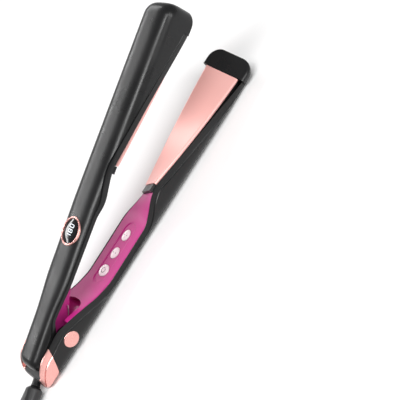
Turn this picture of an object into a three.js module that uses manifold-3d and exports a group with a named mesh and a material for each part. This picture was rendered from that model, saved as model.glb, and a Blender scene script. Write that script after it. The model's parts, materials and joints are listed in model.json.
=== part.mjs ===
// Twisted-plate flat iron, lying on the back of its lower arm with the upper arm sprung open.
// Millimetres, +Z up, +X from the cord end to the tip. The closed arms share one rounded-square
// body whose long axis runs through z = SEAM; every arm is designed closed, then the upper one is
// swung open about the hinge pin.
import * as THREE from "three";
import { mergeVertices } from "three/addons/utils/BufferGeometryUtils.js";
import Module from "manifold-3d";

const wasm = await Module();
wasm.setup();

// ---------------------------------------------------------------- driving dimensions
const LENGTH = 277; // tail cap to tip
const WIDTH = 32; // across the arms
const HEIGHT = 34; // both arms, closed
const SECTION_POWER = 3.85; // superellipse exponent of the body's section
const WALL = 1.6; // shell thickness
const FIT = 0.3; // clearance between neighbouring pieces

const NOSE_LENGTH = 10; // rounded tip
const NOSE_SIDE_ROUND = 7.5;
const NOSE_BACK_ROUND = 8;
const TAIL_ROUND = 20.5; // side view radius of the tail cap's sloping end
const TAIL_SIDE_ROUND = 6;
const TAIL_SIDE_INSET = 5; // how far the tail cap narrows on each side at its rear end
const TAIL_BACK_ROUND = 2;

const PLATE_LENGTH = 100;
const PLATE_WIDTH = 28;
const PLATE_THICKNESS = 3;
const PLATE_END_MARGIN = 16.4; // plate to tip
const PLATE_FLOAT = 0.8; // how far a plate sinks when it is pressed
const TWIST = THREE.MathUtils.degToRad(56); // plate twist from its rear end to its tip
const RIM_DROP = 3; // shell rim below the face of the plate
const NOSE_DROP = 0.5; // top of the nose below the face of the plate
const RIM_BLEND = 70; // length over which the upper arm's rim comes down to its nose
const END_BLOCK_LENGTH = 6;

const HANDLE_FLOOR = 9; // thickness of the lower arm at the buttons
const GRIP_GAP = 18; // open space between the arms at the buttons
const COVER_THICKNESS = 1.6;

const PIVOT = { x: 38, z: 12 };
const OPEN_ANGLE = THREE.MathUtils.degToRad(15.3);
const PIN_DIAMETER = 5;
const HUB_RADIUS = 6.5;
const BOSS_RADIUS = 6;
const HINGE_CAP_DIAMETER = 12;
const HINGE_CAP_PROUD = 0.4;
const HINGE_CAP_DEPTH = 1.4; // how deep a hinge cap's recess is

const TAIL_START = 8.5; // rear end of the upper arm
const TAIL_WALL = 3; // the upper arm's rear end sits this far inside the lower arm's sides
const TAIL_DROP = 3.2; // how much lower the upper arm's back is at its rear end
const REAR_ROUND = { side: 8, back: 6, length: 7 }; // rounding of the upper arm's rear end
const SHOULDER = { start: 6, length: 34 }; // in front of the hinge pin, where the upper arm widens

const DISPLAY = { x: 108, diameter: 20.8, ring: 1.4 };
const BUTTONS = [
  { name: "button_plus", x: 120.6, length: 9.2, width: 7 },
  { name: "button_minus", x: 105.6, length: 9.2, width: 7 },
  { name: "button_power", x: 90.8, length: 9.4, width: 9.4 },
];
const BUTTON_PROUD = 0.5;

const SWIVEL = { x: 5, z: 6.6, ball: 4.6, neck: 3.1 };
const SWIVEL_YAW = THREE.MathUtils.degToRad(24); // the cord leaves towards -Y
const RELIEF = { start: 9.3, shoulder: 12, end: 54, radius: 6, tip: 4.4 };

const CORD_DIAMETER = 6.4;
const HANK = { x: -124.7, y: -10.5, length: 110.4, width: 51, bottom: 1.1, height: 25.8 };
const TIE = { width: 10, thickness: 0.8 };
const PLUG = { length: 30, width: 24, height: 13 };

const SEAM = HEIGHT / 2;
const TAIL_WIDTH = WIDTH - 2 * TAIL_WALL;
const PLATE_END = LENGTH - PLATE_END_MARGIN;
const PLATE_START = PLATE_END - PLATE_LENGTH;
const HANDLE_END = PLATE_START - END_BLOCK_LENGTH;
const PLAY = 0.6; // room at the ends of a plate

// ---------------------------------------------------------------- materials
const finish = (color, roughness, metalness) =>
  new THREE.MeshStandardMaterial({ color, roughness, metalness });
const SHELL = finish(0x2b2c2e, 0.32, 0);
const MAGENTA = finish(0xb8327c, 0.38, 0);
const ROSE = finish(0xf2b3ae, 0.25, 0.9);
const PLATE = finish(0xf6bdb6, 0.3, 0.8);
const BLACK = finish(0x161617, 0.5, 0);
const BUTTON = finish(0xf6ebee, 0.4, 0);
const GLASS = finish(0x08080a, 0.08, 0);
const STEEL = finish(0xb9bcc0, 0.3, 1);
const BOARD = finish(0x1d5a3a, 0.6, 0);
const CERAMIC = finish(0xe9e6de, 0.7, 0);
const SILICONE = finish(0xb4552e, 0.8, 0);
const CORD = finish(0x1c1c1d, 0.6, 0);

// ---------------------------------------------------------------- solids
const toSolid = (geometry) => {
  const bare = geometry.index ? geometry.toNonIndexed() : geometry.clone();
  bare.deleteAttribute("normal");
  bare.deleteAttribute("uv");
  const merged = mergeVertices(bare, 1e-4);
  return new wasm.Manifold(
    new wasm.Mesh({
      numProp: 3,
      vertProperties: new Float32Array(merged.attributes.position.array),
      triVerts: new Uint32Array(merged.index.array),
    }),
  );
};

const toGeometry = (solid) => {
  const mesh = solid.getMesh();
  const geometry = new THREE.BufferGeometry();
  geometry.setAttribute("position", new THREE.BufferAttribute(mesh.vertProperties, 3));
  geometry.setIndex(new THREE.BufferAttribute(mesh.triVerts, 1));
  geometry.computeVertexNormals();
  return geometry;
};

const add = (first, ...rest) => rest.reduce((sum, solid) => sum.add(solid), first);
const cut = (first, ...rest) => rest.reduce((left, solid) => left.subtract(solid), first);

// A section drawn in (u, v), carried along the stations in x; sectionAt gives its (y, z) at x.
const loft = (outline, stations, sectionAt) => {
  const steps = stations.length - 1;
  const shape = new THREE.Shape(outline.map(([u, v]) => new THREE.Vector2(u, v)));
  const geometry = new THREE.ExtrudeGeometry(shape, { depth: steps, steps, bevelEnabled: false });
  const position = geometry.attributes.position;
  for (let i = 0; i < position.count; i++) {
    const x = stations[Math.round(position.getZ(i))];
    const [y, z] = sectionAt(x, position.getX(i), position.getY(i));
    position.setXYZ(i, x, y, z);
  }
  return toSolid(geometry);
};

const box = (x0, x1, y0, y1, z0, z1) =>
  toSolid(
    new THREE.BoxGeometry(x1 - x0, y1 - y0, z1 - z0).translate(
      (x0 + x1) / 2,
      (y0 + y1) / 2,
      (z0 + z1) / 2,
    ),
  );

// Cylinders about lines parallel to Y and to Z.
const rodY = (radius, x, z, y0, y1, sides = 24) =>
  toSolid(new THREE.CylinderGeometry(radius, radius, y1 - y0, sides).translate(x, (y0 + y1) / 2, z));
const rodZ = (radius, x, y, z0, z1, sides = 16) =>
  toSolid(
    new THREE.CylinderGeometry(radius, radius, z1 - z0, sides)
      .rotateX(Math.PI / 2)
      .translate(x, y, (z0 + z1) / 2),
  );

// A closed [radius, height] profile turned about a vertical line.
const turned = (profile, segments = 24) => {
  const points = profile.map(([radius, height]) => new THREE.Vector2(radius, height));
  if (profile[0][0] > 0) points.push(points[0].clone());
  return new THREE.LatheGeometry(points, segments).rotateX(Math.PI / 2);
};

// ---------------------------------------------------------------- shape of the arms
const clamp01 = (t) => Math.min(1, Math.max(0, t));
const smooth = (t) => clamp01(t) ** 2 * (3 - 2 * clamp01(t));
const spaced = (from, to, count) =>
  Array.from({ length: count + 1 }, (_, i) => from + ((to - from) * i) / count);

// A smooth height curve through [x, z] points.
const curve = (points) => {
  const spline = points.map(([x, z]) => ({ x, z }));
  const knotSlope = (i) => {
    if (i === 0 || i === spline.length - 1) return 0;
    const before = (spline[i].z - spline[i - 1].z) / (spline[i].x - spline[i - 1].x);
    const after = (spline[i + 1].z - spline[i].z) / (spline[i + 1].x - spline[i].x);
    return before * after <= 0 ? 0 : (2 * before * after) / (before + after);
  };
  return (x) => {
    if (x <= spline[0].x) return spline[0].z;
    const i = spline.findIndex((point, k) => k > 0 && x <= point.x);
    if (i < 0) return spline[spline.length - 1].z;
    const span = spline[i].x - spline[i - 1].x;
    const t = (x - spline[i - 1].x) / span;
    const lead = span * t * (1 - t);
    return (
      spline[i - 1].z +
      (spline[i].z - spline[i - 1].z) * t * t * (3 - 2 * t) +
      lead * (knotSlope(i - 1) * (1 - t) - knotSlope(i) * t)
    );
  };
};

const twistAt = (x) => TWIST * (clamp01((x - PLATE_START) / PLATE_LENGTH) - 0.5);

// Across-the-arm slope of the inner face: none in the handle, the plate's own slope at the plate.
const WAIST = 32; // length over which the handle's flat face turns into the plate's
const slopeAt = (x) =>
  Math.tan(twistAt(x)) * smooth((x - (PLATE_START - WAIST)) / (WAIST - 3));

const rimAtPlate = SEAM - RIM_DROP / Math.cos(TWIST / 2);
const lowerHandle = curve([
  [TAIL_ROUND, TAIL_ROUND + 2],
  [PIVOT.x - 2, SEAM + 7.2],
  [PIVOT.x + 8, SEAM + 4.8],
  [PIVOT.x + 22, SEAM - 0.3],
  [PIVOT.x + 36, HANDLE_FLOOR + 2.4],
  [PIVOT.x + 50, HANDLE_FLOOR],
  [PLATE_START - 32, HANDLE_FLOOR + 0.4],
  [PLATE_START - 20, HANDLE_FLOOR + 2.2],
  [PLATE_START - 10, rimAtPlate - 0.6],
  [PLATE_START - 2, rimAtPlate],
]);
const upperHandle = curve([
  [PIVOT.x - 4, SEAM + 4],
  [PIVOT.x + 10, HANDLE_FLOOR + GRIP_GAP],
  [PLATE_START - 40, HANDLE_FLOOR + GRIP_GAP],
  [PLATE_START - 20, 2 * SEAM - HANDLE_FLOOR - 2.2],
  [PLATE_START - 10, 2 * SEAM - rimAtPlate + 0.6],
  [PLATE_START - 2, 2 * SEAM - rimAtPlate],
]);

const onNose = (x) => x > PLATE_END + PLAY - 0.001;
const faceDrop = (x) => (onNose(x) ? NOSE_DROP : RIM_DROP) / Math.cos(twistAt(x));
const tailCurve = (x) => 2 + Math.sqrt(Math.max(0, TAIL_ROUND ** 2 - (TAIL_ROUND - x) ** 2));

// Height of an arm's inner face at (x, y), arms closed.
const lowerFace = (x, y) => {
  const slope = slopeAt(x) * y;
  if (x < TAIL_ROUND) return tailCurve(x);
  return slope + (x < PLATE_START - 2 ? lowerHandle(x) : SEAM - faceDrop(x));
};
const upperFace = (x, y) => {
  const slope = slopeAt(x) * y;
  if (x < PLATE_START - 2) return slope + upperHandle(x);
  const blend = smooth((x - (PLATE_END - RIM_BLEND)) / RIM_BLEND);
  return slope + SEAM + (RIM_DROP + (NOSE_DROP - RIM_DROP) * blend) / Math.cos(twistAt(x));
};

// Half sizes of the closed body at x; the upper arm narrows and drops towards its rear end.
const noseAt = (x) => Math.sqrt(1 - clamp01((x - (LENGTH - NOSE_LENGTH)) / NOSE_LENGTH) ** 2);
const roundedEnd = (distance, radius) => Math.sqrt(1 - (1 - clamp01(distance / radius)) ** 2);
const lowerSize = (x) => ({
  side:
    WIDTH / 2 -
    NOSE_SIDE_ROUND * (1 - noseAt(x)) -
    TAIL_SIDE_INSET * (1 - roundedEnd(x, TAIL_SIDE_ROUND)),
  back:
    SEAM -
    NOSE_BACK_ROUND * (1 - noseAt(x)) -
    TAIL_BACK_ROUND * (1 - roundedEnd(x, TAIL_BACK_ROUND)),
});
const upperSize = (x) => {
  const narrow = (WIDTH - TAIL_WIDTH) / 2;
  const rear = x - TAIL_START;
  const lowered = TAIL_DROP * clamp01((DISPLAY.x + 22 - x) / (DISPLAY.x + 22 - TAIL_START));
  return {
    side:
      WIDTH / 2 -
      NOSE_SIDE_ROUND * (1 - noseAt(x)) -
      narrow * (1 - smooth((x - PIVOT.x - SHOULDER.start) / SHOULDER.length)) -
      REAR_ROUND.side * (1 - roundedEnd(rear, REAR_ROUND.side)),
    back:
      SEAM -
      NOSE_BACK_ROUND * (1 - noseAt(x)) -
      lowered -
      REAR_ROUND.back * (1 - roundedEnd(rear, REAR_ROUND.length)),
  };
};

const SECTION = Array.from({ length: 28 }, (_, i) => {
  const angle = ((i + 0.5) / 28) * 2 * Math.PI;
  const power = (value) => Math.sign(value) * Math.abs(value) ** (2 / SECTION_POWER);
  return [power(Math.cos(angle)), power(Math.sin(angle))];
});
const FLAT = 1.031; // the section is a little taller than the body and trimmed flat on its back

const NOSE_STATIONS = [0, 0.3, 0.55, 0.75, 0.9, 0.98, 1].map(
  (share) => LENGTH - NOSE_LENGTH * (1 - share),
);
// The closed body of an arm, shrunk all round by inset.
const bodyOf = (size, stations, inset) =>
  loft(SECTION, stations, (x, u, v) => {
    const { side, back } = size(x);
    const reach = back - inset;
    const z = Math.min(reach, Math.max(-reach, v * reach * FLAT));
    return [u * (side - inset), SEAM + z];
  });
const lowerStations = [0, 0.5, 1.5, 3.5, TAIL_SIDE_ROUND, 60, 140, 220, ...NOSE_STATIONS];
const upperStations = [0, 0.4, 1.5, 3.5, 8, 20, 30, 40, 50, 60, 72, 120, 180]
  .map((rear) => TAIL_START + rear)
  .concat(NOSE_STATIONS);

const ends = (stations, from, to) => [from, ...stations.filter((x) => x > from && x < to), to];
const lowerBody = bodyOf(lowerSize, lowerStations, 0);
const upperBody = bodyOf(upperSize, upperStations, 0);
const hollowOf = (size, stations, inset) =>
  bodyOf(size, ends(stations, stations[0] + inset, LENGTH - inset), inset);

// Everything below, or above, an inner face shifted by offset.
const FACE_SECTION = [-1, 1, 1, 0.5, 0, -0.5, -1].map((u, i) => [u, i < 2 ? 0 : 1]);
const faceStations = (from, to) =>
  [
    ...spaced(from, from + TAIL_ROUND, 5),
    ...spaced(from + TAIL_ROUND, PLATE_START - WAIST, 12).slice(1),
    ...spaced(PLATE_START - WAIST, PLATE_START - 2, 7).slice(1),
    ...spaced(PLATE_START - 2, PLATE_END + PLAY - 0.01, 14).slice(1),
    PLATE_END + PLAY,
    to,
  ].filter((x, i, all) => i === 0 || x > all[i - 1] + 0.005);
const REACH = 24; // past the body all round
const below = (face, offset = 0, from = -1) =>
  loft(FACE_SECTION, faceStations(from, LENGTH + 1), (x, u, v) => {
    const y = u * REACH;
    return [y, v ? face(Math.max(x, 0), y) + offset : -REACH];
  });
const above = (face, offset = 0, from = -1) =>
  loft(FACE_SECTION.map(([u, v]) => [u, 1 - v]).reverse(), faceStations(from, LENGTH + 1), (x, u, v) => {
    const y = u * REACH;
    return [y, v ? HEIGHT + REACH : face(Math.max(x, 0), y) + offset];
  });

// ---------------------------------------------------------------- assembly
const assembly = new THREE.Group();
assembly.position.x = -LENGTH / 2;
const lowerArm = new THREE.Group();
const upperArm = new THREE.Group();
upperArm.position.set(PIVOT.x, 0, PIVOT.z);
upperArm.rotation.y = -OPEN_ANGLE;
const upperParts = new THREE.Group();
upperParts.position.set(-PIVOT.x, 0, -PIVOT.z);
upperArm.add(upperParts);
assembly.add(lowerArm, upperArm);

const place = (group, name, shape, material) => {
  const geometry = shape.isBufferGeometry ? shape : toGeometry(shape);
  const mesh = new THREE.Mesh(geometry, material);
  mesh.name = name;
  group.add(mesh);
  return mesh;
};

// A prism with its outline in (x, z), between two values of y.
const prismY = (outline, y0, y1) => {
  const shape = new THREE.Shape(outline.map(([x, z]) => new THREE.Vector2(x, z)));
  const geometry = new THREE.ExtrudeGeometry(shape, { depth: y1 - y0, bevelEnabled: false });
  return toSolid(geometry.rotateX(Math.PI / 2).translate(0, y1, 0));
};
const circle = (radius, sides) =>
  new THREE.Shape(
    Array.from({ length: sides }, (_, i) => {
      const angle = (i / sides) * 2 * Math.PI;
      return new THREE.Vector2(radius * Math.cos(angle), radius * Math.sin(angle));
    }),
  );
// A round wire or cord through [x, y, z] points.
const tube = (points, radius, sides, steps) => {
  const path = new THREE.CatmullRomCurve3(
    points.map((point) => new THREE.Vector3(...point)),
    false,
    "centripetal",
  );
  return new THREE.ExtrudeGeometry(circle(radius, sides), { extrudePath: path, steps });
};
const screw = (x, y, tip, seat, head = 2.2, shank = 1) =>
  turned(
    [
      [0, tip],
      [shank * 0.5, tip],
      [shank, tip + 0.8],
      [shank, seat],
      [head, seat],
      [head, seat + 0.5],
      [head * 0.7, seat + 0.9],
      [0, seat + 0.9],
    ],
    12,
  ).translate(x, y, 0);

// ---------------------------------------------------------------- shells
const NOSE_SKIN = 2.2;
const lowerHollow = hollowOf(lowerSize, lowerStations, WALL);
const upperHollow = hollowOf(upperSize, upperStations, WALL);
const lowerRoom = hollowOf(lowerSize, lowerStations, WALL + FIT);
const upperRoom = hollowOf(upperSize, upperStations, WALL + FIT);
const lowerCavity = lowerHollow.intersect(
  below((x, y) => (onNose(x) ? lowerFace(x, y) - NOSE_SKIN : HEIGHT + REACH)),
);
const upperCavity = upperHollow.intersect(
  above((x, y) => (onNose(x) ? upperFace(x, y) + NOSE_SKIN : -REACH)),
);

// The screw that holds a plate carrier goes into a post on the back of its shell.
const CARRIER_SCREW = { x: PLATE_START + 8, tip: 3, seat: 10.4, post: 6.2 };
const carrierPost = cut(
  rodZ(2.6, CARRIER_SCREW.x, 0, WALL - 0.5, CARRIER_SCREW.post),
  rodZ(1 + FIT, CARRIER_SCREW.x, 0, CARRIER_SCREW.tip - FIT, SEAM),
);
// The upper arm's plate side is the lower one's, turned half a turn about the long axis.
const toUpper = (solid) => solid.translate([0, 0, -SEAM]).rotate([180, 0, 0]).translate([0, 0, SEAM]);

const CAP_EDGE = { x: 12, lean: 0.54 }; // the tail cap's slanting front edge
const capSide = (gap) => {
  const far = 2 * REACH;
  return prismY(
    [
      [-far, -far],
      [CAP_EDGE.x + gap - far * CAP_EDGE.lean, -far],
      [CAP_EDGE.x + gap + far * CAP_EDGE.lean, far],
      [-far, far],
    ],
    -REACH,
    REACH,
  );
};

const BOSS_GAP = 10; // the hinge bosses start this far from the middle
const CAP_SEAT = WIDTH / 2 - HINGE_CAP_DEPTH; // floor of the recess that a hinge cap sits in
const pinBore = rodY(PIN_DIAMETER / 2 + FIT, PIVOT.x, PIVOT.z, -REACH, REACH);
const bothSides = (radius, from, to, sides) => [
  rodY(radius, PIVOT.x, PIVOT.z, from, to, sides),
  rodY(radius, PIVOT.x, PIVOT.z, -to, -from, sides),
];
const CAP_SCREW = { x: 21, tip: 0.8, seat: 4 };
const capScrewHole = rodZ(1 + FIT, CAP_SCREW.x, 0, CAP_SCREW.tip - FIT, CAP_SCREW.seat + 1);

const lowerHalf = lowerBody.intersect(below(lowerFace));
place(
  lowerArm,
  "lower_shell",
  cut(
    add(
      cut(lowerHalf, lowerCavity),
      carrierPost,
      ...bothSides(BOSS_RADIUS, BOSS_GAP, WIDTH / 2 - 1, 24),
    ),
    pinBore,
    ...bothSides(HINGE_CAP_DIAMETER / 2 + FIT, CAP_SEAT, REACH, 36),
    capSide(FIT / 2),
    capScrewHole,
  ),
  SHELL,
);

const displayBore = rodZ(DISPLAY.diameter / 2 + FIT, DISPLAY.x, 0, SEAM + 11, HEIGHT + REACH, 40);
const upperHalf = upperBody.intersect(above(upperFace));
place(
  upperParts,
  "upper_shell",
  cut(add(cut(upperHalf, upperCavity), toUpper(carrierPost)), displayBore),
  SHELL,
);

// ---------------------------------------------------------------- tail cap and cord swivel
const SHELF = 12.2; // floor of the channel that the upper arm dips into
const SOCKET_END = 13;
const alongCord = (geometry) =>
  geometry.rotateZ(Math.PI + SWIVEL_YAW).translate(SWIVEL.x, 0, SWIVEL.z);
const rodX = (radius, x0, x1, sides = 20) =>
  new THREE.CylinderGeometry(radius, radius, x1 - x0, sides)
    .rotateZ(-Math.PI / 2)
    .translate((x0 + x1) / 2, 0, 0);
const fromBall = (radius, x0, x1, sides) =>
  toSolid(rodX(radius, x0, x1, sides).translate(SWIVEL.x, 0, SWIVEL.z));
const ballAt = (radius) =>
  toSolid(new THREE.SphereGeometry(radius, 24, 16).translate(SWIVEL.x, 0, SWIVEL.z));
const BALL_FIT = 0.35;
const RETAINER = { from: 10.1, bore: 2.4 };
const socket = add(
  ballAt(SWIVEL.ball + BALL_FIT),
  fromBall(SWIVEL.ball + BALL_FIT, 0, SOCKET_END + 1 - SWIVEL.x),
  toSolid(alongCord(rodX(SWIVEL.neck + 0.5, 0, 14))),
);
const channelSide = TAIL_WIDTH / 2 + 2 * FIT;
place(
  lowerArm,
  "tail_cap",
  cut(
    add(
      cut(
        lowerHalf.intersect(capSide(-FIT / 2)),
        box(-REACH, 2 * REACH, -channelSide, channelSide, SHELF, HEIGHT),
        lowerHollow.intersect(box(SOCKET_END, 2 * REACH, -REACH, REACH, -REACH, HEIGHT)),
      ),
      box(SOCKET_END - 0.5, CAP_SCREW.x + 5, -8, 8, WALL + FIT, CAP_SCREW.seat - FIT),
    ),
    socket,
    capScrewHole,
  ),
  ROSE,
);
place(lowerArm, "cap_screw", screw(CAP_SCREW.x, 0, CAP_SCREW.tip, CAP_SCREW.seat), STEEL);
place(
  lowerArm,
  "swivel_retainer",
  cut(
    fromBall(SWIVEL.ball, RETAINER.from - SWIVEL.x, SOCKET_END - 0.2 - SWIVEL.x),
    fromBall(RETAINER.bore, 0, REACH),
  ),
  BLACK,
);
const WIRE_BORE = 1.9;
place(
  lowerArm,
  "swivel_ball",
  cut(
    add(ballAt(SWIVEL.ball), toSolid(alongCord(rodX(SWIVEL.neck, 0, RELIEF.start - FIT)))),
    toSolid(alongCord(rodX(WIRE_BORE, -1, REACH, 12))),
    fromBall(WIRE_BORE, -1, REACH, 12),
  ),
  BLACK,
);
place(
  lowerArm,
  "strain_relief",
  alongCord(
    turned(
      [
        [0, RELIEF.start],
        [SWIVEL.neck + 0.5, RELIEF.start],
        [RELIEF.radius, RELIEF.shoulder],
        [RELIEF.tip, RELIEF.end],
        [0, RELIEF.end],
      ],
      20,
    ).rotateY(Math.PI / 2),
  ),
  CORD,
);
// The strap stands out from the strain relief in the level plane: [along the cord, across it].
const LOOP = [
  [12, -7.4],
  [24, -9.8],
  [35, -12],
  [38.4, -11.6],
  [38.6, -9.4],
  [35, -8],
  [31.5, -7],
];
const strap = { half: 1.5, thickness: 1.6 };
const strapSection = new THREE.Shape(
  [
    [-strap.half, -strap.thickness / 2],
    [strap.half, -strap.thickness / 2],
    [strap.half, strap.thickness / 2],
    [-strap.half, strap.thickness / 2],
  ].map((corner) => new THREE.Vector2(...corner)),
);
place(
  lowerArm,
  "hanging_loop",
  alongCord(
    new THREE.ExtrudeGeometry(strapSection, {
      extrudePath: new THREE.CatmullRomCurve3(LOOP.map(([t, r]) => new THREE.Vector3(t, r, 0))),
      steps: 20,
    }),
  ),
  CORD,
);

// ---------------------------------------------------------------- hinge
const pinHalf = CAP_SEAT - FIT;
place(lowerArm, "hinge_pin", rodY(PIN_DIAMETER / 2, PIVOT.x, PIVOT.z, -pinHalf, pinHalf), STEEL);
bothSides(HINGE_CAP_DIAMETER / 2, CAP_SEAT + FIT, WIDTH / 2 + HINGE_CAP_PROUD, 36).forEach(
  (disc, i) => place(lowerArm, ["hinge_cap_left", "hinge_cap_right"][i], disc, ROSE),
);
const HUB = { from: -5.2, to: 8.6 };
place(
  lowerArm,
  "hinge_washer",
  cut(rodY(HUB_RADIUS - 1, PIVOT.x, PIVOT.z, HUB.to + FIT, BOSS_GAP - FIT), pinBore),
  BLACK,
);

// Torsion spring on the pin: one leg rests low in the lower arm, the other hooks into the web
// of the upper one.
const SPRING = { wire: 0.9, radius: 4, from: -9.1, to: -6.1, low: 30, high: 20, hook: 3.2 };
const lowLegAngle = THREE.MathUtils.degToRad(-25);
const highLegAngle = THREE.MathUtils.degToRad(42);
const springPath = () => {
  const start = lowLegAngle + Math.PI / 2;
  const sweep = highLegAngle - Math.PI / 2 + 6 * Math.PI - start;
  const onCoil = (angle, y) => [
    PIVOT.x + SPRING.radius * Math.cos(angle),
    y,
    PIVOT.z + SPRING.radius * Math.sin(angle),
  ];
  const move = ([x, y, z], angle, length, side = 0) => [
    x + length * Math.cos(angle),
    y + side,
    z + length * Math.sin(angle),
  ];
  const coil = spaced(0, 1, 30).map((t) =>
    onCoil(start + sweep * t, SPRING.from + (SPRING.to - SPRING.from) * t),
  );
  const last = coil[coil.length - 1];
  return [
    move(coil[0], lowLegAngle, SPRING.low),
    move(coil[0], lowLegAngle, SPRING.low / 2),
    ...coil,
    move(last, highLegAngle, SPRING.high / 2),
    move(last, highLegAngle, SPRING.high),
    move(last, highLegAngle, SPRING.high + 1, 1),
    move(last, highLegAngle, SPRING.high + 1, SPRING.hook),
  ];
};
const springPoints = springPath();
place(lowerArm, "hinge_spring", tube(springPoints, SPRING.wire / 2, 6, 72), STEEL);

// ---------------------------------------------------------------- handle covers
const SLOT = { half: HUB.to + 1.1, end: PIVOT.x + 26 };
const ellipse = (x, halfLength, halfWidth, z0, z1) =>
  toSolid(
    new THREE.CylinderGeometry(1, 1, z1 - z0, 28)
      .rotateX(Math.PI / 2)
      .scale(halfLength, halfWidth, 1)
      .translate(x, 0, (z0 + z1) / 2),
  );
const PILL = { margin: 4.5, half: 5.6, depth: 0.5 };
const pillEnds = [BUTTONS[2].x - PILL.margin, BUTTONS[0].x + PILL.margin];
const pill = add(
  box(pillEnds[0], pillEnds[1], -PILL.half, PILL.half, -REACH, REACH),
  ...pillEnds.map((x) => rodZ(PILL.half, x, 0, -REACH, REACH, 28)),
).intersect(above(lowerFace, -PILL.depth));
place(
  lowerArm,
  "lower_handle_cover",
  cut(
    lowerRoom
      .intersect(below(lowerFace))
      .intersect(above(lowerFace, -COVER_THICKNESS))
      .intersect(box(PIVOT.x + 8, HANDLE_END - FIT, -REACH, REACH, -REACH, HEIGHT)),
    box(0, SLOT.end - SLOT.half / 2, -SLOT.half, SLOT.half, -REACH, HEIGHT),
    ellipse(SLOT.end - SLOT.half / 2, SLOT.half / 2, SLOT.half, -REACH, HEIGHT),
    pill,
    ...BUTTONS.map(({ x, length, width }) =>
      ellipse(x, length / 2 + FIT, width / 2 + FIT, -REACH, REACH),
    ),
  ),
  MAGENTA,
);

// The upper cover carries the hub that turns on the pin, on a web that reaches down to it.
const webTop = SEAM + 11.5;
const web = prismY(
  [
    [PIVOT.x - HUB_RADIUS, PIVOT.z],
    [PIVOT.x, PIVOT.z - 3],
    [PIVOT.x + 6, PIVOT.z - 2.5],
    [PIVOT.x + 28, PIVOT.z + 6.8],
    [PIVOT.x + 60, webTop - 1.6],
    [PIVOT.x + 60, webTop - 0.7],
    [PIVOT.x + 12, webTop - 0.7],
    [PIVOT.x - HUB_RADIUS, SEAM + 4.8],
  ],
  HUB.from,
  HUB.to,
);
const webPocket = prismY(
  [
    [PIVOT.x + 12, HEIGHT],
    [PIVOT.x + 12, PIVOT.z + 6],
    [PIVOT.x + 28, PIVOT.z + 9.6],
    [PIVOT.x + 52, webTop - 1.2],
    [PIVOT.x + 52, HEIGHT],
  ],
  HUB.from + 2,
  HUB.to - 2,
);
const [hookX, hookY, hookZ] = springPoints[springPoints.length - 1];
const hookHole = toSolid(
  new THREE.CylinderGeometry(0.8, 0.8, hookY + 0.6 + REACH, 10)
    .translate(hookX - PIVOT.x, (hookY + 0.6 - REACH) / 2, hookZ - PIVOT.z)
    .rotateY(OPEN_ANGLE)
    .translate(PIVOT.x, 0, PIVOT.z),
);
place(
  upperParts,
  "upper_handle_cover",
  cut(
    add(
      upperRoom
        .intersect(above(upperFace))
        .intersect(below(upperFace, COVER_THICKNESS))
        .intersect(box(0, HANDLE_END - FIT, -REACH, REACH, 0, HEIGHT)),
      web,
      rodY(HUB_RADIUS, PIVOT.x, PIVOT.z, HUB.from, HUB.to, 32),
    ),
    webPocket,
    pinBore,
    hookHole,
  ),
  MAGENTA,
);

// ---------------------------------------------------------------- plates, heaters and carriers
// A section in (across, height above the face where the plates meet), twisted along x.
const twisted = (outline, from, to, count = 20) =>
  loft(outline, spaced(from, to, count), (x, across, height) => {
    const angle = twistAt(x);
    return [
      across * Math.cos(angle) - height * Math.sin(angle),
      SEAM + across * Math.sin(angle) + height * Math.cos(angle),
    ];
  });
const slab = (half, bottom, top, bevel = 0) => [
  ...[-1, -0.5, 0, 0.5, 1].map((share) => [share * (half - bevel), bottom]),
  ...(bevel ? [[half, top - bevel]] : []),
  ...[1, 0.5, 0, -0.5, -1].map((share) => [share * (half - bevel), top]),
  ...(bevel ? [[-half, top - bevel]] : []),
];
const HEATER = { half: 9.5, thickness: 1.7, margin: 14 };
const POCKET = { half: 10.6, floor: -7.2 };
const CARRIER = { half: 13.7, bottom: -8.4 };
const END_BLOCK = { half: PLATE_WIDTH / 2 - 0.6, top: -0.8 };
const plateBottom = -PLATE_THICKNESS;
const heaterTop = plateBottom - FIT;
const heaterBottom = heaterTop - HEATER.thickness;
const carrierTop = plateBottom - PLATE_FLOAT - FIT;

const plateSolid = twisted(slab(PLATE_WIDTH / 2, plateBottom, -FIT / 2, 0.6), PLATE_START, PLATE_END);
const heaterSolid = twisted(
  slab(HEATER.half, heaterBottom, heaterTop),
  PLATE_START + HEATER.margin,
  PLATE_END - HEATER.margin,
  14,
);
const carrierSolid = cut(
  add(
    twisted(slab(CARRIER.half, CARRIER.bottom, carrierTop), HANDLE_END, PLATE_END),
    twisted(slab(END_BLOCK.half, CARRIER.bottom, END_BLOCK.top, 0.8), HANDLE_END, PLATE_START - 0.4, 2),
  ),
  twisted(slab(POCKET.half, POCKET.floor, 0), PLATE_START + 1, PLATE_END - 2, 19),
  rodZ(1 + FIT, CARRIER_SCREW.x, 0, 0, SEAM),
);
const cushionHeight = heaterBottom - POCKET.floor - 2 * FIT;
const cushionSolid = (x) =>
  toSolid(
    new THREE.CylinderGeometry(2.5, 2.5, cushionHeight, 14)
      .rotateX(Math.PI / 2)
      .translate(0, 0, POCKET.floor + FIT + cushionHeight / 2)
      .rotateX(twistAt(x))
      .translate(x, 0, SEAM),
  );
const middle = PLATE_START + PLATE_LENGTH / 2;
const sensorTop = SEAM + heaterBottom - FIT;
const sensorSolid = box(middle - 3, middle + 3, -1.5, 1.5, sensorTop - 0.8, sensorTop);
const carrierScrewSolid = toSolid(screw(CARRIER_SCREW.x, 0, CARRIER_SCREW.tip, CARRIER_SCREW.seat));

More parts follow.
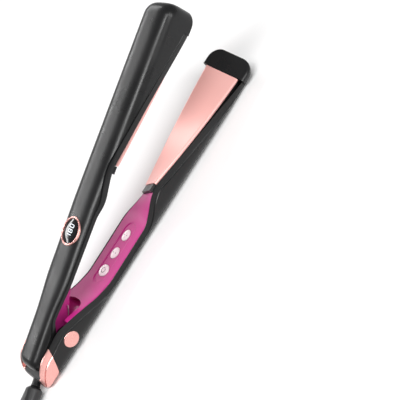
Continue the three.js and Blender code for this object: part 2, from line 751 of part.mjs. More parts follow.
for (const [arm, group, room, turn] of [
  ["lower", lowerArm, lowerRoom, (solid) => solid],
  ["upper", upperParts, upperRoom, toUpper],
]) {
  place(group, arm + "_plate", turn(plateSolid), PLATE);
  place(group, arm + "_heater", turn(heaterSolid), CERAMIC);
  place(group, arm + "_temperature_sensor", turn(sensorSolid), GLASS);
  place(group, arm + "_plate_carrier", turn(carrierSolid).intersect(room), BLACK);
  place(group, arm + "_rear_cushion", turn(cushionSolid(PLATE_START + 28)), SILICONE);
  place(group, arm + "_front_cushion", turn(cushionSolid(PLATE_END - 28)), SILICONE);
  place(group, arm + "_carrier_screw", turn(carrierScrewSolid), STEEL);
}

// ---------------------------------------------------------------- buttons and electronics
const BOARD_TOP = 3.8;
const BUTTON_TRAVEL = 0.5;
for (const { name, x, length, width } of BUTTONS) {
  const face = lowerFace(x, 0);
  const flange = face - COVER_THICKNESS - FIT;
  const bottom = flange - 0.7;
  const top = face + BUTTON_PROUD;
  const rim = 1 + 1.6 / width;
  place(
    lowerArm,
    name,
    turned(
      [
        [0, bottom],
        [rim, bottom],
        [rim, flange],
        [1, flange],
        [1, top - 0.6],
        [0.9, top - 0.15],
        [0.6, top],
        [0, top],
      ],
      28,
    )
      .scale(length / 2, width / 2, 1)
      .translate(x, 0, 0),
    BUTTON,
  );
  place(
    lowerArm,
    name.replace("button", "switch"),
    add(
      box(x - 2.5, x + 2.5, -2.5, 2.5, BOARD_TOP + FIT, BOARD_TOP + 1.6),
      rodZ(1.2, x, 0, BOARD_TOP + 1, bottom - BUTTON_TRAVEL - 0.15, 12),
    ),
    BLACK,
  );
}
place(lowerArm, "control_board", box(PIVOT.x + 40, HANDLE_END - 6, -9, 9, 2.6, BOARD_TOP), BOARD);
place(
  lowerArm,
  "power_relay",
  box(HANDLE_END - 22, HANDLE_END - 10, -5, 5, BOARD_TOP + FIT, 7.4),
  BLACK,
);
const INNER_LEAD_RADIUS = 1.1;
const INNER_LEAD = [
  [10.6, 0, SWIVEL.z],
  [14, 0.3, SWIVEL.z],
  [18, 4, 6.2],
  [24, 8.4, 5.2],
  [31, 9.8, 4.3],
  [50, 9.8, 4.2],
  [PIVOT.x + 32, 8, 3.8],
  [PIVOT.x + 39.5, 6, 3.6],
];
place(lowerArm, "inner_lead", tube(INNER_LEAD, INNER_LEAD_RADIUS, 8, 24), CORD);

// ---------------------------------------------------------------- display
const displayTop = SEAM + upperSize(DISPLAY.x).back + 0.5;
const ringInside = DISPLAY.diameter / 2 - DISPLAY.ring;
const lensRadius = ringInside - FIT;
place(
  upperParts,
  "display_ring",
  turned(
    [
      [ringInside, displayTop - 3.2],
      [DISPLAY.diameter / 2, displayTop - 3.2],
      [DISPLAY.diameter / 2, displayTop - 0.3],
      [DISPLAY.diameter / 2 - 0.3, displayTop],
      [ringInside + 0.3, displayTop],
      [ringInside, displayTop - 0.3],
    ],
    40,
  ).translate(DISPLAY.x, 0, 0),
  ROSE,
);
place(
  upperParts,
  "display_lens",
  turned(
    [
      [0, displayTop - 2],
      [lensRadius, displayTop - 2],
      [lensRadius, displayTop - 0.6],
      [lensRadius * 0.6, displayTop - 0.35],
      [0, displayTop - 0.25],
    ],
    36,
  ).translate(DISPLAY.x, 0, 0),
  GLASS,
);
place(
  upperParts,
  "display_board",
  box(DISPLAY.x - 12, DISPLAY.x + 12, -8, 8, displayTop - 4.4, displayTop - 3.5),
  BOARD,
);

// ---------------------------------------------------------------- cord, hank and plug
const onCordAxis = (distance, z) => [
  SWIVEL.x - Math.cos(SWIVEL_YAW) * distance,
  -Math.sin(SWIVEL_YAW) * distance,
  z,
];
const CORD_LEAD = [
  onCordAxis(RELIEF.end + FIT, SWIVEL.z),
  onCordAxis(RELIEF.end + 5, 6.2),
  [-56, -27.2, 5.4],
  [-63, -29.8, 6],
  [-70, -31.5, 8],
  [-76.6, -32.3, 9.8],
];
place(assembly, "cord_lead", tube(CORD_LEAD, CORD_DIAMETER / 2, 10, 12), CORD);

const stadium = (length, width) => {
  const reach = (length - width) / 2;
  const shape = new THREE.Shape();
  shape.absarc(reach, 0, width / 2, -Math.PI / 2, Math.PI / 2);
  shape.absarc(-reach, 0, width / 2, Math.PI / 2, 1.5 * Math.PI);
  return shape;
};
place(
  assembly,
  "cord_hank",
  new THREE.ExtrudeGeometry(stadium(HANK.length, HANK.width), {
    depth: HANK.height,
    bevelEnabled: false,
    curveSegments: 12,
  }).translate(HANK.x, HANK.y, HANK.bottom),
  CORD,
);
const tieHalf = HANK.width / 2 + FIT;
const tieTop = HANK.bottom + HANK.height + FIT;
place(
  assembly,
  "cord_tie",
  cut(
    box(
      HANK.x - TIE.width / 2,
      HANK.x + TIE.width / 2,
      HANK.y - tieHalf - TIE.thickness,
      HANK.y + tieHalf + TIE.thickness,
      0,
      tieTop + TIE.thickness,
    ),
    box(
      HANK.x - TIE.width,
      HANK.x + TIE.width,
      HANK.y - tieHalf,
      HANK.y + tieHalf,
      TIE.thickness,
      tieTop,
    ),
  ),
  BLACK,
);

const hankEnd = HANK.x - HANK.length / 2;
const plugFace = hankEnd - 8.5;
const plugEnd = plugFace - PLUG.length;
const plugY = -26;
const plugMiddle = PLUG.height / 2;
const CORD_TAIL = [
  [-174.6, -31.2, 4.5],
  [-179.5, -28.8, 5.3],
  [plugFace + 4, plugY - 0.3, plugMiddle],
  [plugFace + 0.6, plugY, plugMiddle],
];
place(assembly, "cord_tail", tube(CORD_TAIL, CORD_DIAMETER / 2, 10, 6), CORD);
const PRONG = { length: 16, thickness: 1.5, height: 6.3, spacing: 12.7, seat: 6 };
const prongBox = (side, grow) => {
  const y = plugY + (side * PRONG.spacing) / 2;
  return box(
    plugEnd - PRONG.length,
    plugEnd + PRONG.seat + grow,
    y - PRONG.thickness / 2 - grow,
    y + PRONG.thickness / 2 + grow,
    plugMiddle - PRONG.height / 2 - grow,
    plugMiddle + PRONG.height / 2 + grow,
  );
};
const plugStations = [plugEnd, plugEnd + 2, plugEnd + 14, plugFace - 3, plugFace];
place(
  assembly,
  "plug_body",
  cut(
    loft(SECTION, plugStations, (x, u, v) => {
      const share = smooth((plugFace - x) / PLUG.length);
      const round = x < plugEnd + 1 ? 1 : 0;
      const side = 6 + (PLUG.width / 2 - 6) * share - round;
      const half = 5 + (PLUG.height / 2 - 5) * share - round;
      return [plugY + u * side, plugMiddle + v * half];
    }),
    prongBox(1, FIT),
    prongBox(-1, FIT),
  ),
  CORD,
);
place(assembly, "plug_prong_left", prongBox(1, 0), STEEL);
place(assembly, "plug_prong_right", prongBox(-1, 0), STEEL);

export default assembly;
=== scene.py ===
# Looks of a twisted-plate flat iron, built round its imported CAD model.
import json
import math

import bmesh
import bpy
from mathutils import Matrix, Vector


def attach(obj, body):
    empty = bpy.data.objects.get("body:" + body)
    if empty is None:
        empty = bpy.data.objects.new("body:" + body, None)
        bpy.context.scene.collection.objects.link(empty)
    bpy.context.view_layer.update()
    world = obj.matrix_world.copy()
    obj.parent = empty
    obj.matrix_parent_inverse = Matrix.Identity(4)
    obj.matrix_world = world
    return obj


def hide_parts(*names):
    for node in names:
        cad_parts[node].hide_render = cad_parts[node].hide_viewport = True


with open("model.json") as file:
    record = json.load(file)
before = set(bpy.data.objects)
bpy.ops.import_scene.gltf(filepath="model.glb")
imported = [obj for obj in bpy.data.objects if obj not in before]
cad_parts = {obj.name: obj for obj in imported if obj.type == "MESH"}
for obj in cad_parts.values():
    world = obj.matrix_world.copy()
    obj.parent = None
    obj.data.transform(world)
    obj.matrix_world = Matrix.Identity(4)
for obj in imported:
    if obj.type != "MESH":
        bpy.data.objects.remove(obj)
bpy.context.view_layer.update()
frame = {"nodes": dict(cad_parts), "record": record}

# ---------------------------------------------------------------- sizes, in millimetres
# Arm coordinates: x from the tail cap to the tip, y across, z up from the lower arm's back, with
# both arms closed. MM turns them into metres.
MM = 0.001
LENGTH = 277
WIDTH = 32
HEIGHT = 34
SEAM = HEIGHT / 2
SECTION_POWER = 3.85
WALL = 1.6
FIT = 0.3
NOSE_LENGTH = 10
NOSE_SIDE_ROUND = 7.5
NOSE_BACK_ROUND = 8
TAIL_ROUND = 20.5
TAIL_SIDE_ROUND = 6
TAIL_SIDE_INSET = 5  # how far the tail cap narrows on each side at its rear end
TAIL_BACK_ROUND = 2
PLATE_LENGTH = 100
PLATE_WIDTH = 28
PLATE_THICKNESS = 3
PLATE_EDGE = 1.3
PLATE_END = LENGTH - 16.4
PLATE_START = PLATE_END - PLATE_LENGTH
HANDLE_END = PLATE_START - 6
TWIST = math.radians(56)
RIM_DROP = 3
NOSE_DROP = 0.5
RIM_BLEND = 70
PLAY = 0.6
HANDLE_FLOOR = 9
GRIP_GAP = 18
COVER_THICKNESS = 1.6
PIVOT_X, PIVOT_Z = 38, 12
OPEN_ANGLE = math.radians(15.3)
TAIL_START = 8.5
TAIL_WALL = 3  # the upper arm's rear end sits this far inside the lower arm's sides
TAIL_WIDTH = WIDTH - 2 * TAIL_WALL
REAR_SIDE_ROUND, REAR_BACK_ROUND, REAR_LENGTH = 8, 6, 7  # rounding of the upper arm's rear end
SHOULDER_START, SHOULDER_LENGTH = 6, 34  # in front of the hinge pin, where the upper arm widens
TAIL_DROP = 3.2
WAIST = 32
SHELF = 12.2
CAP_EDGE, CAP_LEAN = 12, 0.54
BAND, BAND_INSET = 4.4, 1.35  # the band along each shell's rim, set in a little at the rim
GROOVE, GROOVE_WIDTH = 0.8, 1.2  # the fine groove between the band and the side
NOSE_EDGE = 1.6  # rounding round the top of a nose
RING_POINTS = 150
FINE_STEPS, EVEN_STEPS = 4000, 2000  # points of the section before and after it is evened out
HUB = (-5.2, 8.6)
SLOT_HALF = HUB[1] + 1.1
SLOT_END = PIVOT_X + 26
SLOT_ROUND = 4.9
COVER_START = PIVOT_X + 8
BUTTON_PROUD = 0.5
DISPLAY_X, DISPLAY_RADIUS, DISPLAY_RING = 108, 10.4, 1.4
BUTTONS = {"plus": (120.6, 9.2, 7), "minus": (105.6, 9.2, 7), "power": (90.8, 9.4, 9.4)}
SWIVEL_X, SWIVEL_Z, SWIVEL_NECK = 5, 6.6, 3.1
SWIVEL_YAW = math.radians(24)
RELIEF_START, RELIEF_SHOULDER, RELIEF_END = 9.3, 12, 54
RELIEF_RADIUS, RELIEF_TIP = 6, 4.4
CORD = 6.4


def row(point):
    """A point of the lower arm, in the row frame in metres."""
    x, y, z = point
    return Vector(((x - LENGTH / 2) * MM, y * MM, z * MM))


def row_open(point):
    """A point of the upper arm, drawn closed and shown open."""
    x, y, z = point[0] - PIVOT_X, point[1], point[2] - PIVOT_Z
    c, s = math.cos(OPEN_ANGLE), math.sin(OPEN_ANGLE)
    return row((PIVOT_X + x * c - z * s, y, PIVOT_Z + x * s + z * c))


def spaced(low, high, count):
    return [low + (high - low) * i / count for i in range(count + 1)]


def clamp01(t):
    return min(1, max(0, t))


def smooth(t):
    t = clamp01(t)
    return t * t * (3 - 2 * t)


def curve(points):
    """A smooth height curve through (x, z) points."""
    def knot_slope(i):
        if i in (0, len(points) - 1):
            return 0
        before = (points[i][1] - points[i - 1][1]) / (points[i][0] - points[i - 1][0])
        after = (points[i + 1][1] - points[i][1]) / (points[i + 1][0] - points[i][0])
        return 0 if before * after <= 0 else 2 * before * after / (before + after)

    def height(x):
        if x <= points[0][0]:
            return points[0][1]
        for i in range(1, len(points)):
            if x <= points[i][0]:
                span = points[i][0] - points[i - 1][0]
                t = (x - points[i - 1][0]) / span
                lead = span * t * (1 - t)
                rise = (points[i][1] - points[i - 1][1]) * t * t * (3 - 2 * t)
                bend = lead * (knot_slope(i - 1) * (1 - t) - knot_slope(i) * t)
                return points[i - 1][1] + rise + bend
        return points[-1][1]

    return height


# ---------------------------------------------------------------- the arms' shape
def twist_at(x):
    """The plates' twist: half of TWIST one way at their rear end, the other way at the front."""
    return TWIST * (clamp01((x - PLATE_START) / PLATE_LENGTH) - 0.5)


def slope_at(x):
    """How steeply the inner faces lean across the arms."""
    return math.tan(twist_at(x)) * smooth((x - (PLATE_START - WAIST)) / (WAIST - 3))


RIM_AT_PLATE = SEAM - RIM_DROP / math.cos(TWIST / 2)
lower_handle = curve([
    (TAIL_ROUND, TAIL_ROUND + 2),
    (PIVOT_X - 2, SEAM + 7.2),
    (PIVOT_X + 8, SEAM + 4.8),
    (PIVOT_X + 22, SEAM - 0.3),
    (PIVOT_X + 36, HANDLE_FLOOR + 2.4),
    (PIVOT_X + 50, HANDLE_FLOOR),
    (PLATE_START - 32, HANDLE_FLOOR + 0.4),
    (PLATE_START - 20, HANDLE_FLOOR + 2.2),
    (PLATE_START - 10, RIM_AT_PLATE - 0.6),
    (PLATE_START - 2, RIM_AT_PLATE),
])
upper_handle = curve([
    (PIVOT_X - 4, SEAM + 4),
    (PIVOT_X + 10, HANDLE_FLOOR + GRIP_GAP),
    (PLATE_START - 40, HANDLE_FLOOR + GRIP_GAP),
    (PLATE_START - 20, HEIGHT - HANDLE_FLOOR - 2.2),
    (PLATE_START - 10, HEIGHT - RIM_AT_PLATE + 0.6),
    (PLATE_START - 2, HEIGHT - RIM_AT_PLATE),
])


def on_nose(x):
    return x > PLATE_END + PLAY - 0.001


def face_drop(x):
    """How far the lower arm's inner face lies under the seam beside the plate and on the nose."""
    return (NOSE_DROP if on_nose(x) else RIM_DROP) / math.cos(twist_at(x))


def tail_curve(x):
    """The rounded edge of the tail, rising from the cord end."""
    return 2 + math.sqrt(max(0, TAIL_ROUND ** 2 - (TAIL_ROUND - x) ** 2))


def lower_face(x, y):
    """The height of the lower arm's inner face."""
    if x < TAIL_ROUND:
        return tail_curve(x)
    return slope_at(x) * y + (lower_handle(x) if x < PLATE_START - 2 else SEAM - face_drop(x))


def upper_face(x, y):
    """The height of the upper arm's inner face, with the arms closed."""
    if x < PLATE_START - 2:
        return slope_at(x) * y + upper_handle(x)
    blend = smooth((x - (PLATE_END - RIM_BLEND)) / RIM_BLEND)
    drop = RIM_DROP + (NOSE_DROP - RIM_DROP) * blend
    return slope_at(x) * y + SEAM + drop / math.cos(twist_at(x))


def nose_at(x):
    """1 behind the nose, falling to 0 at the tip like a quarter circle."""
    return math.sqrt(max(0, 1 - clamp01((x - (LENGTH - NOSE_LENGTH)) / NOSE_LENGTH) ** 2))


def rounded_end(distance, radius):
    """0 at an end, rising to 1 at a distance of radius like a quarter circle."""
    return math.sqrt(1 - (1 - clamp01(distance / radius)) ** 2)


def lower_size(x):
    """The lower arm's half width, and the depth from the seam to its back."""
    side = WIDTH / 2 - NOSE_SIDE_ROUND * (1 - nose_at(x))
    side -= TAIL_SIDE_INSET * (1 - rounded_end(x, TAIL_SIDE_ROUND))
    back = SEAM - NOSE_BACK_ROUND * (1 - nose_at(x))
    back -= TAIL_BACK_ROUND * (1 - rounded_end(x, TAIL_BACK_ROUND))
    return side, back


def upper_size(x):
    """The same for the upper arm."""
    rear = x - TAIL_START
    narrow = TAIL_WALL * (1 - smooth((x - PIVOT_X - SHOULDER_START) / SHOULDER_LENGTH))
    tail_end = DISPLAY_X + 22
    lowered = TAIL_DROP * clamp01((tail_end - x) / (tail_end - TAIL_START))
    side = WIDTH / 2 - NOSE_SIDE_ROUND * (1 - nose_at(x)) - narrow
    side -= REAR_SIDE_ROUND * (1 - rounded_end(rear, REAR_SIDE_ROUND))
    back = SEAM - NOSE_BACK_ROUND * (1 - nose_at(x)) - lowered
    back -= REAR_BACK_ROUND * (1 - rounded_end(rear, REAR_LENGTH))
    return side, back


def unit_section():
    """The body's section as (u, v) at even steps of its length, clockwise from the +Y side."""
    fine = []
    for i in range(FINE_STEPS + 1):
        angle = -2 * math.pi * i / FINE_STEPS
        c, s = math.cos(angle), math.sin(angle)
        power = 2 / SECTION_POWER
        fine.append((math.copysign(abs(c) ** power, c), math.copysign(abs(s) ** power, s)))
    lengths = [0]
    for a, b in zip(fine, fine[1:]):
        lengths.append(lengths[-1] + math.hypot((b[0] - a[0]) * WIDTH / 2, (b[1] - a[1]) * SEAM))
    even, k = [], 0
    for i in range(EVEN_STEPS):
        target = lengths[-1] * i / EVEN_STEPS
        while lengths[k + 1] < target:
            k += 1
        t = (target - lengths[k]) / (lengths[k + 1] - lengths[k])
        a, b = fine[k], fine[k + 1]
        even.append((a[0] + (b[0] - a[0]) * t, a[1] + (b[1] - a[1]) * t))
    return even


UNIT = unit_section()


def on_section(size, inset, s):
    """(y, z) at a share s of the way round a section that is shrunk all round by inset."""
    place = (s % 1) * len(UNIT)
    i = int(place)
    a, b = UNIT[i % len(UNIT)], UNIT[(i + 1) % len(UNIT)]
    t = place - i
    u, v = a[0] + (b[0] - a[0]) * t, a[1] + (b[1] - a[1]) * t
    return u * (size[0] - inset), SEAM + v * (size[1] - inset)


def side_points(size, x, face, side, inset, count=5):
    """(share, inset) up one side: the rim, the set-in band, the groove and the plain side."""
    fade = min(1, 0.4 * (face(x, 0) - SEAM + size[1]) / BAND)
    inset *= fade
    top = meets(size, inset, x, face, side)
    fold = meets(size, 0, x, face, side, BAND * fade)
    edge = meets(size, 0, x, face, side, (BAND + GROOVE_WIDTH) * fade)
    points = [(top + (fold - top) * t, inset + (0.25 * fade - inset) * t)
              for t in spaced(0, 1, count)]
    points += [(fold + (edge - fold) * t, GROOVE * deep * fade)
               for t, deep in ((0.25, 0.8), (0.5, 1), (0.75, 0.7), (1, 0))]
    return points


def meets(size, inset, x, face, side, drop=0):
    """The share where a section crosses an inner face lowered by drop: side 1 is +Y, -1 is -Y."""
    above, below = (-0.2, 0.24) if side > 0 else (0.7, 0.26)
    for _ in range(40):
        s = (above + below) / 2
        y, z = on_section(size, inset, s)
        if z > face(x, y) - drop:
            above = s
        else:
            below = s
    return (above + below) / 2


# ---------------------------------------------------------------- mesh helpers
def make(name, vertices, faces, material, body, nodes=(), slot=None, sharp=38):
    """A piece from vertices and faces, with double vertices merged and its faces turned outwards."""
    mesh = bpy.data.meshes.new(name)
    mesh.from_pydata([tuple(v) for v in vertices], [], faces)
    piece = bpy.data.objects.new(name, mesh)
    bpy.context.scene.collection.objects.link(piece)
    made = bmesh.new()
    made.from_mesh(mesh)
    bmesh.ops.remove_doubles(made, verts=made.verts, dist=2e-7)
    bmesh.ops.recalc_face_normals(made, faces=made.faces)
    made.to_mesh(mesh)
    made.free()
    return dress(piece, material, body, nodes, sharp)


def dress(piece, material, body, nodes=(), sharp=38):
    """Smooth shading, a finish, a body to ride on and the CAD nodes that the piece stands for."""
    for polygon in piece.data.polygons:
        polygon.use_smooth = True
    piece.data.set_sharp_from_angle(angle=math.radians(sharp))
    piece.data.materials.clear()
    piece.data.materials.append(material)
    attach(piece, body)
    if nodes:
        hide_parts(*nodes)
    return piece


def loft_faces(rings, closed=True, ends=True):
    """Vertices and faces of a tube through rings of equal length."""
    vertices = [point for ring in rings for point in ring]
    count = len(rings[0])
    faces = []
    for i in range(len(rings) - 1):
        for j in range(count if closed else count - 1):
            k = (j + 1) % count
            faces.append((i * count + j, i * count + k, (i + 1) * count + k, (i + 1) * count + j))
    if ends:
        faces.append(tuple(range(count))[::-1])
        last = (len(rings) - 1) * count
        faces.append(tuple(range(last, last + count)))
    return vertices, faces


def turned(profile, segments, place):
    """A closed (radius, height) profile turned about an axis; place maps (x, y, height)."""
    rings = []
    for i in range(segments):
        angle = 2 * math.pi * i / segments
        rings.append([place(r * math.cos(angle), r * math.sin(angle), h) for r, h in profile])
    return loft_faces(rings + [rings[0]], closed=False, ends=False)


def modifier(piece, kind, **settings):
    """Adds a modifier, sets it and applies it."""
    added = piece.modifiers.new(kind.lower(), kind)
    for key, value in settings.items():
        setattr(added, key, value)
    graph = bpy.context.evaluated_depsgraph_get()
    graph.update()
    mesh = bpy.data.meshes.new_from_object(piece.evaluated_get(graph))
    piece.modifiers.clear()
    piece.data = mesh
    return piece


def cutter(vertices, faces):
    """A mesh for carve to take away from a piece."""
    mesh = bpy.data.meshes.new("cutter")
    mesh.from_pydata([tuple(v) for v in vertices], [], faces)
    made = bmesh.new()
    made.from_mesh(mesh)
    bmesh.ops.recalc_face_normals(made, faces=made.faces)
    made.to_mesh(mesh)
    made.free()
    piece = bpy.data.objects.new("cutter", mesh)
    bpy.context.scene.collection.objects.link(piece)
    return piece


def carve(piece, *tools):
    """Takes the tools away from a piece and deletes them."""
    for tool in tools:
        modifier(piece, "BOOLEAN", operation="DIFFERENCE", object=tool, solver="EXACT")
        bpy.data.objects.remove(tool)
    return piece


# ---------------------------------------------------------------- materials
def surface(name, colour, roughness, metallic=0.0, **looks):
    """A finish with slight variation of tone and roughness, a fine grain and paler edges as a painted
    highlight.
    """
    look = {
        "specular": 0.5, "coat": 0.0, "coat_roughness": 0.1, "rough_spread": 0.05,
        "tone": 0.06, "patch": 60, "grain": 900, "bump": 0.02, "stretch": (1, 1, 1),
        "wear": 0.0, "worn": (0.5, 0.5, 0.5),
    }
    look.update(looks)
    material = bpy.data.materials.new(name)
    material.use_nodes = True
    tree = material.node_tree
    nodes, links = tree.nodes, tree.links
    shader = nodes["Principled BSDF"]
    where = nodes.new("ShaderNodeTexCoord")
    mapping = nodes.new("ShaderNodeMapping")
    mapping.inputs["Scale"].default_value = look["stretch"]
    links.new(where.outputs["Object"], mapping.inputs["Vector"])

    def noise(scale, detail):
        made = nodes.new("ShaderNodeTexNoise")
        made.inputs["Scale"].default_value = scale
        made.inputs["Detail"].default_value = detail
        links.new(mapping.outputs["Vector"], made.inputs["Vector"])
        return made.outputs["Fac"]

    def ramp(source, low, high, low_value, high_value):
        made = nodes.new("ShaderNodeMapRange")
        for socket, value in zip(("From Min", "From Max", "To Min", "To Max"),
                                 (low, high, low_value, high_value)):
            made.inputs[socket].default_value = value
        links.new(source, made.inputs["Value"])
        return made.outputs["Result"]

    patches = noise(look["patch"], 4)
    fine = noise(look["grain"], 3)
    tint = nodes.new("ShaderNodeMix")
    tint.data_type = "RGBA"
    tint.inputs["A"].default_value = (*[c * (1 - look["tone"]) for c in colour], 1)
    tint.inputs["B"].default_value = (*[min(1, c * (1 + look["tone"])) for c in colour], 1)
    links.new(patches, tint.inputs["Factor"])
    colour_out = tint.outputs["Result"]
    # Sharp convex edges (high pointiness) are mixed towards a paler colour: a painted edge highlight.
    if look["wear"]:
        edges = nodes.new("ShaderNodeNewGeometry")
        highlit_edges = ramp(edges.outputs["Pointiness"], 0.56, 0.68, 0, look["wear"])
        mixed = nodes.new("ShaderNodeMix")
        mixed.data_type = "RGBA"
        mixed.inputs["B"].default_value = (*look["worn"], 1)
        links.new(highlit_edges, mixed.inputs["Factor"])
        links.new(colour_out, mixed.inputs["A"])
        colour_out = mixed.outputs["Result"]
    links.new(colour_out, shader.inputs["Base Color"])
    spread = look["rough_spread"]
    links.new(ramp(patches, 0.3, 0.7, roughness - spread, roughness + spread),
              shader.inputs["Roughness"])
    shader.inputs["Metallic"].default_value = metallic
    shader.inputs["Specular IOR Level"].default_value = look["specular"]
    shader.inputs["Coat Weight"].default_value = look["coat"]
    shader.inputs["Coat Roughness"].default_value = look["coat_roughness"]
    relief = nodes.new("ShaderNodeBump")
    relief.inputs["Strength"].default_value = look["bump"]
    relief.inputs["Distance"].default_value = 0.0003
    links.new(fine, relief.inputs["Height"])
    links.new(relief.outputs["Normal"], shader.inputs["Normal"])
    return material


# The paler edge colours and their strengths given below paint a highlight on sharp edges.
SHELL = surface("charcoal_shell", (0.008, 0.008, 0.0085), 0.30, wear=0.1, worn=(0.04, 0.04, 0.04),
                tone=0.08, bump=0.003, specular=0.34)
MAGENTA = surface("magenta_cover", (0.47, 0.02, 0.21), 0.42, tone=0.06, bump=0.015, wear=0.15,
                  worn=(0.65, 0.12, 0.36), specular=0.4)
ROSE = surface("rose_gold", (0.90, 0.46, 0.42), 0.27, metallic=0.8, tone=0.04, bump=0.008,
               rough_spread=0.04, wear=0.3, worn=(0.98, 0.70, 0.64))
PLATE = surface("plate_coating", (0.92, 0.50, 0.46), 0.42, metallic=0.35, tone=0.02, bump=0.01,
                grain=500, stretch=(0.15, 1, 1), rough_spread=0.03)
BLACK = surface("black_plastic", (0.012, 0.012, 0.013), 0.45, tone=0.15, bump=0.06, grain=1500,
                wear=0.3, worn=(0.06, 0.06, 0.06))
BUTTON = surface("button_white", (0.86, 0.76, 0.78), 0.35, tone=0.03, coat=0.3, bump=0.01)
INK = surface("button_mark", (0.10, 0.05, 0.07), 0.5, tone=0.05)
GLASS = surface("dark_glass", (0.004, 0.004, 0.005), 0.10, tone=0.1, bump=0.002, rough_spread=0.02,
                specular=0.35)
STEEL = surface("steel", (0.62, 0.62, 0.63), 0.28, metallic=1.0, tone=0.06, grain=700,
                stretch=(0.1, 1, 1), bump=0.04)
BOARD = surface("circuit_board", (0.015, 0.13, 0.055), 0.4, tone=0.2, patch=400, bump=0.05)
CERAMIC = surface("heater_ceramic", (0.80, 0.78, 0.72), 0.6, tone=0.05, bump=0.08)
SILICONE = surface("silicone", (0.45, 0.10, 0.03), 0.65, tone=0.06, bump=0.05)
RUBBER = surface("black_rubber", (0.014, 0.014, 0.015), 0.38, tone=0.2, bump=0.05, grain=1200,
                 wear=0.3, worn=(0.07, 0.07, 0.07))
LEAD = surface("cord_sheath", (0.018, 0.018, 0.019), 0.42, tone=0.2, bump=0.08, grain=1400)
STRAP = surface("strap", (0.16, 0.16, 0.165), 0.4, tone=0.1, bump=0.05)
DIGIT = surface("display_digits", (0.8, 0.85, 0.9), 0.4, tone=0.02)
digit_shader = DIGIT.node_tree.nodes["Principled BSDF"]
digit_shader.inputs["Emission Color"].default_value = (0.85, 0.93, 1.0, 1)
digit_shader.inputs["Emission Strength"].default_value = 0.9

finishes = {
    "charcoal_shell": SHELL, "magenta_cover": MAGENTA, "rose_gold": ROSE, "plate_coating": PLATE,
    "black_plastic": BLACK, "button_white": BUTTON, "dark_glass": GLASS, "sensor_glass": CERAMIC,
    "steel": STEEL, "circuit_board": BOARD, "heater_ceramic": CERAMIC, "silicone": SILICONE,
    "black_rubber": RUBBER,
}
for part in frame["record"]["subparts"]:
    for node_slot in frame["nodes"][part["node"]].material_slots:
        node_slot.material = finishes[part["material_slot"]]

# ---------------------------------------------------------------- camera, floor and light
# The camera was solved from the open iron's outline; right and up are its own axes.
camera_data = bpy.data.cameras.new("camera")
camera_data.sensor_width = 36
camera_data.lens = 76.8
camera_data.shift_x = 0.0266
camera_data.shift_y = 0.0794
camera_data.clip_start = 0.01
camera = bpy.data.objects.new("camera", camera_data)
right = Vector((0.5300, -0.6123, -0.5868))
up = Vector((0.8353, 0.2574, 0.4859))
turn = Matrix((right, up, right.cross(up))).transposed()
camera.matrix_world = Matrix.Translation((-0.0817, -0.4872, 0.3821)) @ turn.to_4x4()
bpy.context.scene.collection.objects.link(camera)
bpy.context.scene.camera = camera

floor_mesh = bpy.data.meshes.new("floor")
floor_mesh.from_pydata([(-4, -4, 0), (4, -4, 0), (4, 4, 0), (-4, 4, 0)], [], [(0, 1, 2, 3)])
floor = bpy.data.objects.new("floor", floor_mesh)
floor_mesh.materials.append(surface("floor_white", (0.88, 0.88, 0.88), 0.7, tone=0.01, bump=0.005))
bpy.context.scene.collection.objects.link(floor)

world = bpy.data.worlds.new("studio")
bpy.context.scene.world = world
world.use_nodes = True
world.node_tree.nodes["Background"].inputs["Color"].default_value = (1, 1, 1, 1)
world.node_tree.nodes["Background"].inputs["Strength"].default_value = 0.3
bpy.context.scene.view_settings.view_transform = "Standard"


def softbox(name, place, target, width, height, power):
    """A rectangular lamp that faces its target."""
    light = bpy.data.lights.new(name, "AREA")
    light.shape = "RECTANGLE"
    light.size, light.size_y, light.energy = width, height, power
    lamp = bpy.data.objects.new(name, light)
    lamp.location = place
    lamp.rotation_mode = "QUATERNION"
    lamp.rotation_quaternion = (Vector(target) - Vector(place)).to_track_quat("-Z", "Y")
    bpy.context.scene.collection.objects.link(lamp)


softbox("key", (-0.35, -0.45, 1.25), (0, 0, 0.03), 1.3, 0.3, 17)
softbox("fill", (0.5, -1.3, 0.75), (0, 0, 0.03), 0.3, 0.9, 8)
softbox("back", (0.0, 1.3, 0.74), (0, 0, 0.05), 1.9, 0.13, 10)

# ---------------------------------------------------------------- cord
HANK_X, HANK_Y, HANK_BOTTOM = -124.7, -10.5, 1.1
HANK_LENGTH, HANK_WIDTH, HANK_HEIGHT = 110.4, 51, 25.8
OUTER = (HANK_WIDTH - CORD) / 2
INNER = OUTER - CORD
RUN = (HANK_LENGTH - HANK_WIDTH) / 2
PLUG_Y, PLUG_Z = -26, 6.5
PLUG_FACE = HANK_X - HANK_LENGTH / 2 - 8.5


def level(n):
    """The height of the lead's middle in layer n of the hank."""
    return HANK_BOTTOM + CORD / 2 + n * CORD


def on_cord(distance, z):
    """A point under or over the cord's exit line."""
    return (SWIVEL_X - math.cos(SWIVEL_YAW) * distance, -math.sin(SWIVEL_YAW) * distance, z)


def fold(end, start, finish, rise, shift):
    """Half a turn round one end of the hank: -1 is the far end, reached on the -Y side."""
    (n0, r0), (n1, r1) = start, finish
    points = []
    for i in range(1, 14):
        angle = math.pi * i / 14
        t = angle / math.pi
        z = level(n0 + (n1 - n0) * smooth((t - rise[0]) / (rise[1] - rise[0])))
        radius = r0 + (r1 - r0) * smooth((t - shift[0]) / (shift[1] - shift[0]))
        side = -1 if end < 0 else 1
        points.append((HANK_X + end * RUN + end * radius * math.sin(angle),
                       HANK_Y + side * radius * math.cos(angle), z))
    return points


def run(slot, side, direction):
    """A straight run along one side of the hank; direction 1 goes towards the iron."""
    n, radius = slot
    xs = spaced(-RUN, RUN, 4) if direction > 0 else spaced(RUN, -RUN, 4)
    return [(HANK_X + x, HANK_Y + side * radius, level(n)) for x in xs]


